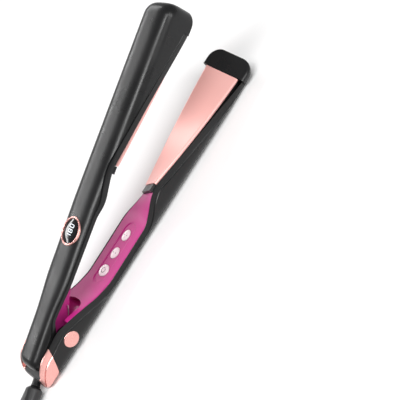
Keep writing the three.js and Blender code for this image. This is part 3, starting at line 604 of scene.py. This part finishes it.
def hank_route():
    """Seven and a half turns, up the outer ring and down the inner one, ending at the bottom."""
    near = [(1, OUTER), (2, OUTER), (3, OUTER), (3, INNER), (2, INNER), (1, INNER), (0, INNER),
            (0, OUTER)]
    far = [(1, OUTER), (2, OUTER), (3, INNER), (2, INNER), (1, INNER), (0, INNER), (0, OUTER)]
    points = []
    for i, slot in enumerate(near):
        points += run(slot, -1, -1)
        if i < len(far):
            same = near[i][0] == far[i][0]
            points += fold(-1, slot, far[i], (0.2, 0.6), (0.5, 1) if same else (0, 1))
            points += run(far[i], 1, 1)
            points += fold(1, far[i], near[i + 1], (0, 0.6), (0.3, 1))
    return points


lead_in = [on_cord(RELIEF_END + FIT, SWIVEL_Z), on_cord(RELIEF_END + 5, 6.2), (-56, -27.2, 5.4),
           (-63, -29.8, 6), (-70, -31.5, 8), (-76.6, -32.3, 9.8), (-84, -32.8, 10.7)]
tail_out = [(-163, -32.2, 4.4), (-169, -31.6, 4.5), (-174.6, -30.6, 4.6), (-179.5, -28.8, 5.3),
            (PLUG_FACE + 4, PLUG_Y - 0.3, PLUG_Z), (PLUG_FACE + 0.6, PLUG_Y, PLUG_Z)]


def smooth_route(points, step):
    """A centripetal Catmull-Rom curve through points, cut into steps of about one length."""
    made = [Vector(points[0])]
    padded = [2 * Vector(points[0]) - Vector(points[1]), *map(Vector, points),
              2 * Vector(points[-1]) - Vector(points[-2])]
    for a, b, c, d in zip(padded, padded[1:], padded[2:], padded[3:]):
        t0 = 0
        t1 = t0 + (b - a).length ** 0.5
        t2 = t1 + (c - b).length ** 0.5
        t3 = t2 + (d - c).length ** 0.5
        count = max(1, round((c - b).length / step))
        for i in range(1, count + 1):
            t = t1 + (t2 - t1) * i / count
            ab = a.lerp(b, (t - t0) / (t1 - t0))
            bc = b.lerp(c, (t - t1) / (t2 - t1))
            cd = c.lerp(d, (t - t2) / (t3 - t2))
            abc = ab.lerp(bc, (t - t0) / (t2 - t0))
            bcd = bc.lerp(cd, (t - t1) / (t3 - t1))
            made.append(abc.lerp(bcd, (t - t1) / (t2 - t1)))
    return made


route = smooth_route(lead_in + hank_route() + tail_out, 3.5)
cord_data = bpy.data.curves.new("mains_lead", "CURVE")
cord_data.dimensions = "3D"
cord_data.bevel_depth = CORD / 2 * MM
cord_data.bevel_resolution = 4
cord_data.use_fill_caps = True
spline = cord_data.splines.new("POLY")
spline.points.add(len(route) - 1)
for point, place in zip(spline.points, route):
    point.co = (*row(place), 1)
cord_data.materials.append(LEAD)
mains_lead = bpy.data.objects.new("mains_lead", cord_data)
bpy.context.scene.collection.objects.link(mains_lead)
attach(mains_lead, "lower_arm_body")
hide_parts("cord_lead", "cord_hank", "cord_tail")

# Tie: a strap round the hank.
TIE_HALF, TIE_THICKNESS, TIE_PLAY = 5, 0.8, 0.3
half_width = HANK_WIDTH / 2 + TIE_PLAY
strap_top = HANK_BOTTOM + HANK_HEIGHT + TIE_PLAY


def strap_ring(grow, x):
    """A rounded band round the hank's middle."""
    points = []
    corners = [(1, 1), (-1, 1), (-1, -1), (1, -1)]
    low, high, radius = TIE_THICKNESS - grow, strap_top + grow, 2.5 + grow
    for k, (sy, sz) in enumerate(corners):
        for i in range(7):
            angle = math.pi / 2 * (k + i / 6)
            y = HANK_Y + sy * (half_width + grow - radius) + radius * math.cos(angle)
            middle = high - radius if sz > 0 else low + radius
            points.append(row((x, y, middle + radius * math.sin(angle))))
    return points


tie_corners = [(TIE_THICKNESS, -1), (TIE_THICKNESS, 1), (0, 1), (0, -1), (TIE_THICKNESS, -1)]
tie_rings = [strap_ring(grow, HANK_X + side * TIE_HALF) for grow, side in tie_corners]
tie = make("hank_tie", *loft_faces(tie_rings, ends=False), BLACK, "lower_arm_body", ["cord_tie"],
           "black_plastic")

# Plug: a tapered moulding with finger grooves, and two flat prongs with holes.
PLUG_LENGTH, PLUG_WIDTH, PLUG_HEIGHT = 30, 24, 13
PLUG_NECK = (5.6, 4.8)  # half width and half height where the lead enters
PLUG_GRIP = (0.3, 0.78)  # where along the plug its finger grooves are
plug_rings = []
for t in spaced(0, 1, 60):
    share = smooth(t)
    grip = 0.45 * math.sin((t - PLUG_GRIP[0]) * 26) ** 2 * (PLUG_GRIP[0] < t < PLUG_GRIP[1])
    edge = 1.2 * (1 - rounded_end(t * PLUG_LENGTH, 1.5))
    edge += 1.5 * (1 - rounded_end((1 - t) * PLUG_LENGTH, 1.5))
    wide = PLUG_WIDTH / 2 + (PLUG_NECK[0] - PLUG_WIDTH / 2) * share - edge - grip
    tall = PLUG_HEIGHT / 2 + (PLUG_NECK[1] - PLUG_HEIGHT / 2) * share - edge - grip * 0.5
    ring = []
    for u, v in UNIT[:: len(UNIT) // 48]:
        ring.append(row((PLUG_FACE - PLUG_LENGTH * (1 - t), PLUG_Y + u * wide, PLUG_Z + v * tall)))
    plug_rings.append(ring)
plug = make("plug", *loft_faces(plug_rings), RUBBER, "lower_arm_body", ["plug_body"], "black_rubber")


PRONG_SPACING, PRONG_LENGTH, PRONG_HALF = 12.7, 13.5, 3.15
PRONG_HOLE = (11, 1.6)  # its distance from the plug and its radius


def prong(name, side, node):
    """A flat blade with a rounded end and a hole, standing out of the plug."""
    y = PLUG_Y + side * PRONG_SPACING / 2
    back = PLUG_FACE - PLUG_LENGTH
    end = back - PRONG_LENGTH
    outline = [(back + 1, -PRONG_HALF), (back + 1, PRONG_HALF), (end, PRONG_HALF)]
    outline += [(end - 2.5 * math.sin(a), PRONG_HALF * math.cos(a))
                for a in spaced(0, math.pi, 10)[1:-1]]
    outline += [(end, -PRONG_HALF)]
    rings = [[row((x, y + offset, PLUG_Z + z)) for x, z in outline] for offset in (-0.75, 0.75)]
    piece = make(name, *loft_faces(rings), STEEL, "lower_arm_body", [node], "steel")
    away, radius = PRONG_HOLE
    hole = [[row((back - away + radius * math.cos(a), y + offset, PLUG_Z + radius * math.sin(a)))
             for a in spaced(0, 2 * math.pi, 20)[:-1]] for offset in (-2, 2)]
    carve(piece, cutter(*loft_faces(hole)))
    modifier(piece, "BEVEL", width=0.25 * MM, segments=2, limit_method="ANGLE")
    return dress(piece, STEEL, "lower_arm_body", sharp=45)


prong_left = prong("prong_left", 1, "plug_prong_left")
prong_right = prong("prong_right", -1, "plug_prong_right")


# ---------------------------------------------------------------- shells
def put_outside(put, size, x, face):
    """The outer side of a section with its bands and grooves, from +Y round the back to -Y."""
    right_side = side_points(size, x, face, 1, BAND_INSET)
    left_side = side_points(size, x, face, -1, BAND_INSET)
    for s, inset in right_side[:-1]:
        put(s, inset)
    for s in spaced(right_side[-1][0], left_side[-1][0], 72):
        put(s, 0)
    for s, inset in left_side[-2::-1]:
        put(s, inset)


def shell_ring(size_at, face, x, lean=0.0, solid=False):
    """One section of a shell: the outer face from +Y round the back to -Y, then the inner one."""
    size = size_at(x)
    points = []

    def put(s, inset):
        y, z = on_section(size, inset, s)
        points.append((x + lean * z, y, z))

    if solid:
        edge = min(NOSE_EDGE, size[0] * 0.12)
        start, stop = meets(size, 0, x, face, 1, edge), meets(size, 0, x, face, -1, edge)
        for s in spaced(start, stop, 90):
            put(s, 0)
        inner = RING_POINTS - len(points)
        first, last = points[0], points[-1]
        across = first[1] - last[1]
        for t in spaced(0, 1, inner + 1)[1:-1]:
            gap = across * (t - math.sin(2 * math.pi * t) / 7)
            y = last[1] + gap
            z = face(x, y) - edge * (1 - rounded_end(min(gap, across - gap), edge))
            points.append((x + lean * z, y, z))
        return points
    put_outside(put, size, x, face)
    wall = min(WALL, size[0] - 1, size[1] - 1)
    left_in = meets(size, wall, x, face, -1)
    right_in = meets(size, wall, x, face, 1)
    for s in spaced(left_in, right_in, RING_POINTS - len(points) - 1):
        put(s, wall)
    return points


def nose_stations():
    """Where the closed sections of a nose stand, closer together towards the tip."""
    shoulder = [PLATE_END + PLAY + 0.03, PLATE_END + 2.5]
    return shoulder + [LENGTH - NOSE_LENGTH * (1 - math.sin(a)) for a in spaced(0, math.pi / 2, 16)]


def mirrored(ring):
    """A section of the lower arm turned into one of the upper arm, or the other way round."""
    return [(x, y, HEIGHT - z) for x, y, z in ring]


def leaning_face(x, lean):
    """The inner face seen from a section that leans forward by a share of its height."""
    def face(_, y):
        z = lower_face(x, y)
        for _ in range(6):
            z = lower_face(x + lean * z, y)
        return z

    return face


# The rearmost sections lean like the tail cap's edge and stand upright from UPRIGHT_FROM on.
UPRIGHT_FROM = 70
lower_rings = []
for i, x in enumerate(spaced(CAP_EDGE + FIT / 2, UPRIGHT_FROM, 40)):
    lean = CAP_LEAN * (1 - smooth(i / 40))
    lower_rings.append(shell_ring(lower_size, leaning_face(x, lean), x, lean))
lower_rings += [shell_ring(lower_size, lower_face, x)
                for x in spaced(UPRIGHT_FROM, PLATE_END + PLAY - 0.02, 130)[1:]]
lower_rings += [shell_ring(lower_size, lower_face, x, solid=True) for x in nose_stations()]
make("lower_shell_skin", *loft_faces([[row(p) for p in ring] for ring in lower_rings]), SHELL,
     "lower_arm_body", ["lower_shell"], "charcoal_shell")


def upper_mirror(x, y):
    """The upper arm's inner face, mirrored to the lower arm's side."""
    return HEIGHT - upper_face(x, y)


rear_stations = [TAIL_START + REAR_SIDE_ROUND * (1 - math.cos(a))
                 for a in spaced(0, math.pi / 2, 16)]
inside = TAIL_START + WALL  # where the hollow of the upper shell starts
hollow_stations = [inside + 0.05] + [x for x in rear_stations if x > inside + 0.1]
hollow_stations += spaced(TAIL_START + REAR_SIDE_ROUND, PLATE_END + PLAY - 0.02, 150)[1:]
upper_rings = [shell_ring(upper_size, upper_mirror, x, solid=True)
               for x in rear_stations if x < inside]
upper_rings += [shell_ring(upper_size, upper_mirror, x) for x in hollow_stations]
upper_rings += [shell_ring(upper_size, upper_mirror, x, solid=True) for x in nose_stations()]
upper_rings = [[row_open(p) for p in mirrored(ring)] for ring in upper_rings]
upper_shell = make("upper_shell_skin", *loft_faces(upper_rings), SHELL, "upper_arm_body",
                   ["upper_shell"], "charcoal_shell")
DISPLAY_TOP = SEAM + upper_size(DISPLAY_X)[1]


def round_hole(x, half_length, half_width, heights, place, sides):
    """A cutter for an oval hole straight through an arm."""
    rings = [[place((x + half_length * math.cos(a), half_width * math.sin(a), z))
              for a in spaced(0, 2 * math.pi, sides)[:-1]] for z in heights]
    return cutter(*loft_faces(rings))


bore = DISPLAY_RADIUS + 0.1
carve(upper_shell, round_hole(DISPLAY_X, bore, bore, (28.5, 45), row_open, 64))
dress(upper_shell, SHELL, "upper_arm_body")


# ---------------------------------------------------------------- tail cap
def cap_ring(x, lean):
    """One section of the cap: its outer side, then the channel that the upper arm dips into."""
    size = lower_size(x)

    def face(_, y):
        z = tail_curve(x)
        for _ in range(8):
            z = lower_face(x + lean * z, y)
        return z

    wide = TAIL_WIDTH / 2 + 2 * FIT
    points = []

    def put(s, inset):
        y, z = on_section(size, inset, s)
        points.append((x + lean * z, y, z))

    put_outside(put, size, x, face)
    low = min(SHELF, face(x, 0))
    top_left, top_right = points[-1], points[0]
    inner = min(wide, abs(top_left[1]) - 0.3)
    channel = [(-inner, top_left[2])] + [(y, low) for y in spaced(-inner, inner, 12)]
    for y, z in channel + [(inner, top_right[2])]:
        points.append((x + lean * z, y, z))
    return points


cap_rings = []
for a in spaced(0.02, math.pi / 2, 30):
    x = (CAP_EDGE - FIT / 2) * (1 - math.cos(a))
    cap_rings.append(cap_ring(x, CAP_LEAN * x / (CAP_EDGE - FIT / 2)))
tail_cap = make("tail_cap_skin", *loft_faces([[row(p) for p in ring] for ring in cap_rings]), ROSE,
                "lower_arm_body", ["tail_cap"], "rose_gold")


def cord_place(along, across, height):
    """A point given along the cord's exit, across it in the level plane, and up."""
    c, s = math.cos(SWIVEL_YAW), math.sin(SWIVEL_YAW)
    return row((SWIVEL_X - c * along + s * across, -s * along - c * across, SWIVEL_Z + height))


def cord_rings(stations, sides=48):
    """Rings about the cord's exit line, from (distance, radius) pairs."""
    angles = spaced(0, 2 * math.pi, sides)[:-1]
    return [[cord_place(t, r * math.cos(a), r * math.sin(a)) for a in angles] for t, r in stations]


carve(tail_cap, cutter(*loft_faces(cord_rings([(-5, SWIVEL_NECK + 0.5), (12, SWIVEL_NECK + 0.5)]))))
dress(tail_cap, ROSE, "lower_arm_body")
tail_cap.data.materials.append(BLACK)  # the dark insert between the cap's side walls
for polygon in tail_cap.data.polygons:
    across, tall = polygon.center.y / MM, polygon.center.z / MM
    if abs(across) < TAIL_WIDTH / 2 - 1.5 and tall > 2.2:
        polygon.material_index = 1

# ---------------------------------------------------------------- handle covers
PILL = (BUTTONS["power"][0] - 4.5, BUTTONS["plus"][0] + 4.5)  # ends of the recess round the buttons
PILL_HALF, PILL_DEPTH = 5.6, 0.5


def pill_depth(x, y):
    """How deep the cover dips at a point: the recess round the buttons and its rounded rear end."""
    along = max(PILL[0] - x, 0, x - PILL[1])
    rear_end = 0.8 * (1 - rounded_end(x - COVER_START, 3))
    return rear_end + PILL_DEPTH * smooth((PILL_HALF - math.hypot(along, y)) / 0.7 + 0.5)


def cover_ring(size_at, face, x, recess):
    """One section of a handle cover, with its long edges rounded over."""
    size = size_at(x)
    left = on_section(size, WALL + FIT, meets(size, WALL + FIT, x, face, -1))
    right = on_section(size, WALL + FIT, meets(size, WALL + FIT, x, face, 1))
    top, under = [], []
    for t in spaced(0, 1, 72):
        y = left[0] + (right[0] - left[0]) * t
        edge = min(y - left[0], right[0] - y)
        round_over = 0.45 * (1 - rounded_end(edge, 0.8))
        z = face(x, y)
        top.append((x, y, z - round_over - recess(x, y)))
        under.append((x, y, z - COVER_THICKNESS))
    return top + under[::-1]


cover_stations = spaced(COVER_START, COVER_START + 4, 12)[:-1] + spaced(COVER_START + 4, 84, 45)
cover_stations += spaced(84, 130, 110)[1:] + spaced(130, HANDLE_END - FIT, 36)[1:]
lower_cover_rings = [[row(p) for p in cover_ring(lower_size, lower_face, x, pill_depth)]
                     for x in cover_stations]
lower_cover = make("lower_cover_skin", *loft_faces(lower_cover_rings), MAGENTA, "lower_arm_body",
                   ["lower_handle_cover"], "magenta_cover")
slot_outline = [(SLOT_END - SLOT_ROUND + SLOT_ROUND * math.sin(a), SLOT_HALF * math.cos(a))
                for a in spaced(0, math.pi, 24)]
slot_outline += [(30, -SLOT_HALF), (30, SLOT_HALF)]
slot_rings = [[row((x, y, z)) for x, y in slot_outline] for z in (-5, 40)]
carve(lower_cover, cutter(*loft_faces(slot_rings)))
for x, length, width in BUTTONS.values():
    carve(lower_cover, round_hole(x, length / 2 + 0.25, width / 2 + 0.25, (-5, 40), row, 48))
dress(lower_cover, MAGENTA, "lower_arm_body")

LINER_START, LINER_STEP = 48, 53  # the lining is narrower up to the step, clear of the spring


def liner_half(x):
    """Half width of the lining inside the end of the web's slot."""
    if x < LINER_STEP:
        return SLOT_HALF - 1.6
    along = clamp01((x - SLOT_END + SLOT_ROUND) / SLOT_ROUND)
    return SLOT_HALF * math.sqrt(1 - along ** 2) + 0.2


liner_rings = []
liner_stations = spaced(LINER_START, LINER_STEP, 5)
liner_stations += [SLOT_END - SLOT_ROUND * (1 - math.sin(a)) for a in spaced(0, 1.5, 16)]
for x in liner_stations:
    half = liner_half(x)
    top = lower_face(x, 0) - COVER_THICKNESS - 0.15
    bottom = min(lower_face(x, 0) - 5.5, 9.7 + (x - PIVOT_X - 6) * 0.38 - 0.8)
    thin = min(0.5, half * 0.4)
    ring = [(-half, top), (-half, bottom - 0.5), (half, bottom - 0.5), (half, top)]
    ring += [(half - thin, top), (half - thin, bottom), (thin - half, bottom), (thin - half, top)]
    liner_rings.append([row((x, y, z)) for y, z in ring])
liner_end = (SLOT_END + 0.4 - LENGTH / 2) * MM
liner_rings.append([Vector((liner_end, point.y, point.z)) for point in liner_rings[-1]])
make("slot_liner", *loft_faces(liner_rings), MAGENTA, "lower_arm_body", slot="magenta_cover")



def no_recess(*_):
    return 0


upper_cover_rings = [
    [row_open(p) for p in mirrored(cover_ring(upper_size, upper_mirror, x, no_recess))]
    for x in spaced(TAIL_START + WALL + FIT + 1, HANDLE_END - FIT, 120)
]
make("upper_cover_skin", *loft_faces(upper_cover_rings), MAGENTA, "upper_arm_body",
     ["upper_handle_cover"], "magenta_cover")

# The web that carries the upper arm on the hinge pin, and the hub round the pin.
web_under = curve([
    (PIVOT_X + 2, PIVOT_Z - 3),
    (PIVOT_X + 6, PIVOT_Z - 2.3),
    (PIVOT_X + 28, PIVOT_Z + 6.9),
    (PIVOT_X + 50, SEAM + 6.6),
    (PIVOT_X + 62, SEAM + 10.2),
])
web_outline = [(x, web_under(x)) for x in spaced(PIVOT_X + 2, PIVOT_X + 62, 30)]
web_outline += [(PIVOT_X + 60, SEAM + 10.8), (PIVOT_X + 4, SEAM + 10.8)]
web_outline += [(PIVOT_X - 6.2, SEAM + 4.8), (PIVOT_X - 6.4, PIVOT_Z)]
web_rings = [[row_open((x, y, z)) for x, z in web_outline] for y in HUB]
web = make("hinge_web", *loft_faces(web_rings), MAGENTA, "upper_arm_body")
modifier(web, "BEVEL", width=0.8 * MM, segments=3, limit_method="ANGLE")
dress(web, MAGENTA, "upper_arm_body")
hub_profile = [(2.9, HUB[0]), (6.1, HUB[0]), (6.5, HUB[0] + 0.4)]
hub_profile += [(6.5, HUB[1] - 0.4), (6.1, HUB[1]), (2.9, HUB[1]), (2.9, HUB[0])]


def round_pin(a, b, h):
    return row_open((PIVOT_X + a, h, PIVOT_Z + b))


make("hinge_hub", *turned(hub_profile, 48, round_pin), MAGENTA, "upper_arm_body",
     slot="magenta_cover")


# ---------------------------------------------------------------- plates
def plate_outline():
    """The plate's section: crowned edges on a broad flat face."""
    half, top, bottom = PLATE_WIDTH / 2, -FIT / 2, -PLATE_THICKNESS
    points = [(-half + 0.6, bottom), (half - 0.6, bottom), (half, bottom + 0.6)]
    quarter = [(PLATE_EDGE * math.cos(a), PLATE_EDGE * math.sin(a))
               for a in spaced(0, math.pi / 2, 6)]
    points += [(half - PLATE_EDGE + c, top - PLATE_EDGE + s) for c, s in quarter]
    points += [(x, top) for x in spaced(half - 1.6, -half + 1.6, 14)]
    points += [(-half + PLATE_EDGE - s, top - PLATE_EDGE + c) for c, s in quarter]
    return points + [(-half, bottom + 0.6)]


def twisted(outline, stations, turn_over, place):
    """Sections of a plate that follow the arms' twist; turn_over gives the upper arm's plate."""
    rings = []
    for x in stations:
        angle = twist_at(x)
        ring = []
        for across, height in outline:
            y = across * math.cos(angle) - height * math.sin(angle)
            z = across * math.sin(angle) + height * math.cos(angle)
            ring.append(place((x, -y, SEAM - z) if turn_over else (x, y, SEAM + z)))
        rings.append(ring)
    return rings


plate_stations = [PLATE_START, *spaced(PLATE_START + 0.4, PLATE_END - 0.4, 80), PLATE_END]
for arm, turn_over, place in (("lower", False, row), ("upper", True, row_open)):
    rings = twisted(plate_outline(), plate_stations, turn_over, place)
    make(arm + "_plate_skin", *loft_faces(rings), PLATE, arm + "_plate_body", [arm + "_plate"],
         "plate_coating", sharp=50)

# ---------------------------------------------------------------- hinge caps, display, buttons
cap_profile = [(0, 15.0), (5.7, 15.0), (6.0, 15.3), (6.0, 16.0)]
cap_profile += [(5.7, 16.3), (5.2, 16.38), (4.2, 16.4), (0, 16.4)]
for name, side in (("hinge_cap_left", 1), ("hinge_cap_right", -1)):
    def on_side(a, b, h, side=side):
        return row((PIVOT_X + a, side * h, PIVOT_Z + b))

    make(name + "_skin", *turned(cap_profile, 64, on_side), ROSE, "lower_arm_body", [name],
         "rose_gold", sharp=50)

ring_in = DISPLAY_RADIUS - DISPLAY_RING
ring_top = DISPLAY_TOP + 0.7


def over_display(a, b, h):
    return row_open((DISPLAY_X + a, b, h))


ring_profile = [(ring_in, ring_top - 3), (DISPLAY_RADIUS, ring_top - 3)]
ring_profile.append((DISPLAY_RADIUS, ring_top - 0.5))
ring_profile += [(DISPLAY_RADIUS - 0.7 + 0.7 * math.cos(a), ring_top - 0.5 + 0.5 * math.sin(a))
                 for a in spaced(0, math.pi, 8)[1:-1]]
ring_profile += [(ring_in, ring_top - 0.5), (ring_in, ring_top - 3)]
make("display_ring_skin", *turned(ring_profile, 96, over_display), ROSE, "upper_arm_body",
     ["display_ring"], "rose_gold", sharp=50)
lens_profile = [(0, ring_top - 2), (ring_in - 0.1, ring_top - 2), (ring_in - 0.1, ring_top - 0.7),
                (ring_in - 0.5, ring_top - 0.5), (ring_in * 0.6, ring_top - 0.32), (0, ring_top - 0.25)]
make("display_lens_skin", *turned(lens_profile, 72, over_display), GLASS, "upper_arm_body",
     ["display_lens"], "dark_glass")


def bar_faces(start):
    """The six faces of a bar whose four corners each give a low and a high vertex, from start."""
    faces = [(start, start + 2, start + 4, start + 6), (start + 7, start + 5, start + 3, start + 1)]
    for k in range(4):
        ahead = start + (2 * k + 2) % 8
        faces.append((start + 2 * k, start + 2 * k + 1, ahead + 1, ahead))
    return faces


# Seven-segment digits on the window, reading along the arm. A bar is (across, up, is upright).
SEGMENTS = {"1": "bc", "8": "abcdefg", "0": "abcdef"}
BARS = {"a": (0, 2, 0), "b": (1, 1, 1), "c": (1, -1, 1), "d": (0, -2, 0), "e": (-1, -1, 1),
        "f": (-1, 1, 1), "g": (0, 0, 0)}
DIGIT_PITCH, DIGIT_HALF_WIDTH, DIGIT_STEP = 3.6, 1.0, 1.15
digit_vertices, digit_faces = [], []
for index, digit in enumerate("180"):
    for bar in SEGMENTS[digit]:
        across, up_by, upright = BARS[bar]
        centre_u = (index - 1) * DIGIT_PITCH + across * DIGIT_HALF_WIDTH
        centre_v = up_by * DIGIT_STEP
        half_u, half_v = (0.2, 0.95) if upright else (0.8, 0.2)
        digit_faces += bar_faces(len(digit_vertices))
        for du, dv in ((-1, -1), (1, -1), (1, 1), (-1, 1)):
            x = DISPLAY_X + centre_u + du * half_u
            y = centre_v + dv * half_v
            for height in (0.0, 0.12):
                digit_vertices.append(row_open((x, y, ring_top - 0.27 + height)))
make("display_digits", digit_vertices, digit_faces, DIGIT, "upper_arm_body", slot="button_white")


def strokes(lines, width, depth, place):
    """Raised bars along (u, v) polylines."""
    vertices, faces = [], []
    for line in lines:
        for (u0, v0), (u1, v1) in zip(line, line[1:]):
            along = Vector((u1 - u0, v1 - v0)).normalized()
            side = Vector((-along.y, along.x)) * width / 2
            ends = [Vector((u0, v0)) - along * width / 3, Vector((u1, v1)) + along * width / 3]
            corners = [ends[0] - side, ends[1] - side, ends[1] + side, ends[0] + side]
            faces += bar_faces(len(vertices))
            vertices += [place(c.x, c.y, h) for c in corners for h in (-0.1, depth)]
    return vertices, faces


arc = [(1.7 * math.cos(a), 1.7 * math.sin(a)) for a in spaced(0.7, 2 * math.pi - 0.7, 16)]
MARKS = {
    "plus": [[(-1.5, 0), (1.5, 0)], [(0, -1.5), (0, 1.5)]],
    "minus": [[(0, -1.6), (0, 1.6)]],
    "power": [arc, [(0.3, 0), (2.2, 0)]],
}
MARK_WIDTH, MARK_HEIGHT = 0.75, 0.03


def button(name, x, length, width):
    """A domed push button and the mark on it."""
    base = lower_face(x, 0)
    top = base + BUTTON_PROUD
    profile = [(0, base - 2.3), (1, base - 2.3), (1, top - 0.75)]
    profile += [(0.84 + 0.16 * math.cos(a), top - 0.75 + 0.55 * math.sin(a))
                for a in spaced(0, math.pi / 2, 6)[1:]]
    profile += [(0.6, top - 0.08), (0.3, top - 0.02), (0, top)]

    def oval(a, b, h):
        return row((x + a * length / 2, b * width / 2, h))

    def on_top(u, v, h):
        return row((x + u, v, top - 0.06 + h))

    body = name + "_body"
    make("button_" + name + "_skin", *turned(profile, 56, oval), BUTTON, body, ["button_" + name],
         "button_white", sharp=55)
    mark = strokes(MARKS[name], MARK_WIDTH, MARK_HEIGHT, on_top)
    make("button_" + name + "_mark", *mark, INK, body, slot="button_white")


for name, sizes in BUTTONS.items():
    button(name, *sizes)

# ---------------------------------------------------------------- cord swivel
# The ball and its neck, then the ribbed boot, as (distance along the cord, radius).
neck = [(-4.55, 0.3), (-4.3, 1.6), (-3.4, 3.1), (-1.8, 4.2), (0, 4.55), (1.8, 4.2), (3.3, 3.3)]
neck += [(4, SWIVEL_NECK), (8.2, SWIVEL_NECK), (8.6, 3.4), (9, 3.4)]
swivel_ball = make("swivel_ball_skin", *loft_faces(cord_rings(neck)), BLACK, "swivel_body",
                   ["swivel_ball"], "black_plastic")
RIBS_FROM, RIB_PITCH = RELIEF_SHOULDER + 12, 3.4
boot = [(RELIEF_START, 0.3), (RELIEF_START, 3.2), (RELIEF_START + 0.5, 3.8)]
for t in spaced(0, 1, 110):
    along = RELIEF_START + 0.8 + (RELIEF_END - RELIEF_START - 1.2) * t
    swell = smooth((along - RELIEF_START) / (RELIEF_SHOULDER - RELIEF_START))
    radius = 4 + (RELIEF_RADIUS - 4) * swell
    if along > RELIEF_SHOULDER:
        share = (along - RELIEF_SHOULDER) / (RELIEF_END - RELIEF_SHOULDER)
        radius = RELIEF_RADIUS + (RELIEF_TIP - RELIEF_RADIUS) * share
    groove = 0.0
    if RIBS_FROM < along < RELIEF_END - 3:
        wave = math.cos(2 * math.pi * (along - RIBS_FROM) / RIB_PITCH)
        groove = 0.75 * smooth(0.5 - wave)
    boot.append((along, radius - groove))
boot += [(RELIEF_END - 0.2, RELIEF_TIP - 0.1), (RELIEF_END, RELIEF_TIP - 0.4), (RELIEF_END, 3.25)]
strain_relief = make("strain_relief_skin", *loft_faces(cord_rings(boot)), RUBBER, "swivel_body",
                     ["strain_relief"], "black_rubber", sharp=50)

# The strap, as (distance along the cord, distance across it) in the level plane.
LOOP = [(12, 7.4), (24, 9.8), (35, 12), (38.4, 11.6), (38.6, 9.4), (35, 8), (31.5, 7)]
loop_line = smooth_route([(t, -r, 0) for t, r in LOOP], 0.6)
loop_rings = []
for i, point in enumerate(loop_line):
    ahead = loop_line[min(i + 1, len(loop_line) - 1)] - loop_line[max(i - 1, 0)]
    ahead.normalize()
    side = Vector((-ahead.y, ahead.x, 0))
    ring = []
    for u, v in UNIT[:: len(UNIT) // 20]:
        spot = point + side * (u * 0.8) + Vector((0, 0, v * 1.5))
        ring.append(cord_place(spot.x, spot.y, spot.z))
    loop_rings.append(ring)
hanging_loop = make("hanging_loop_skin", *loft_faces(loop_rings), STRAP, "swivel_body",
                    ["hanging_loop"], "black_rubber")
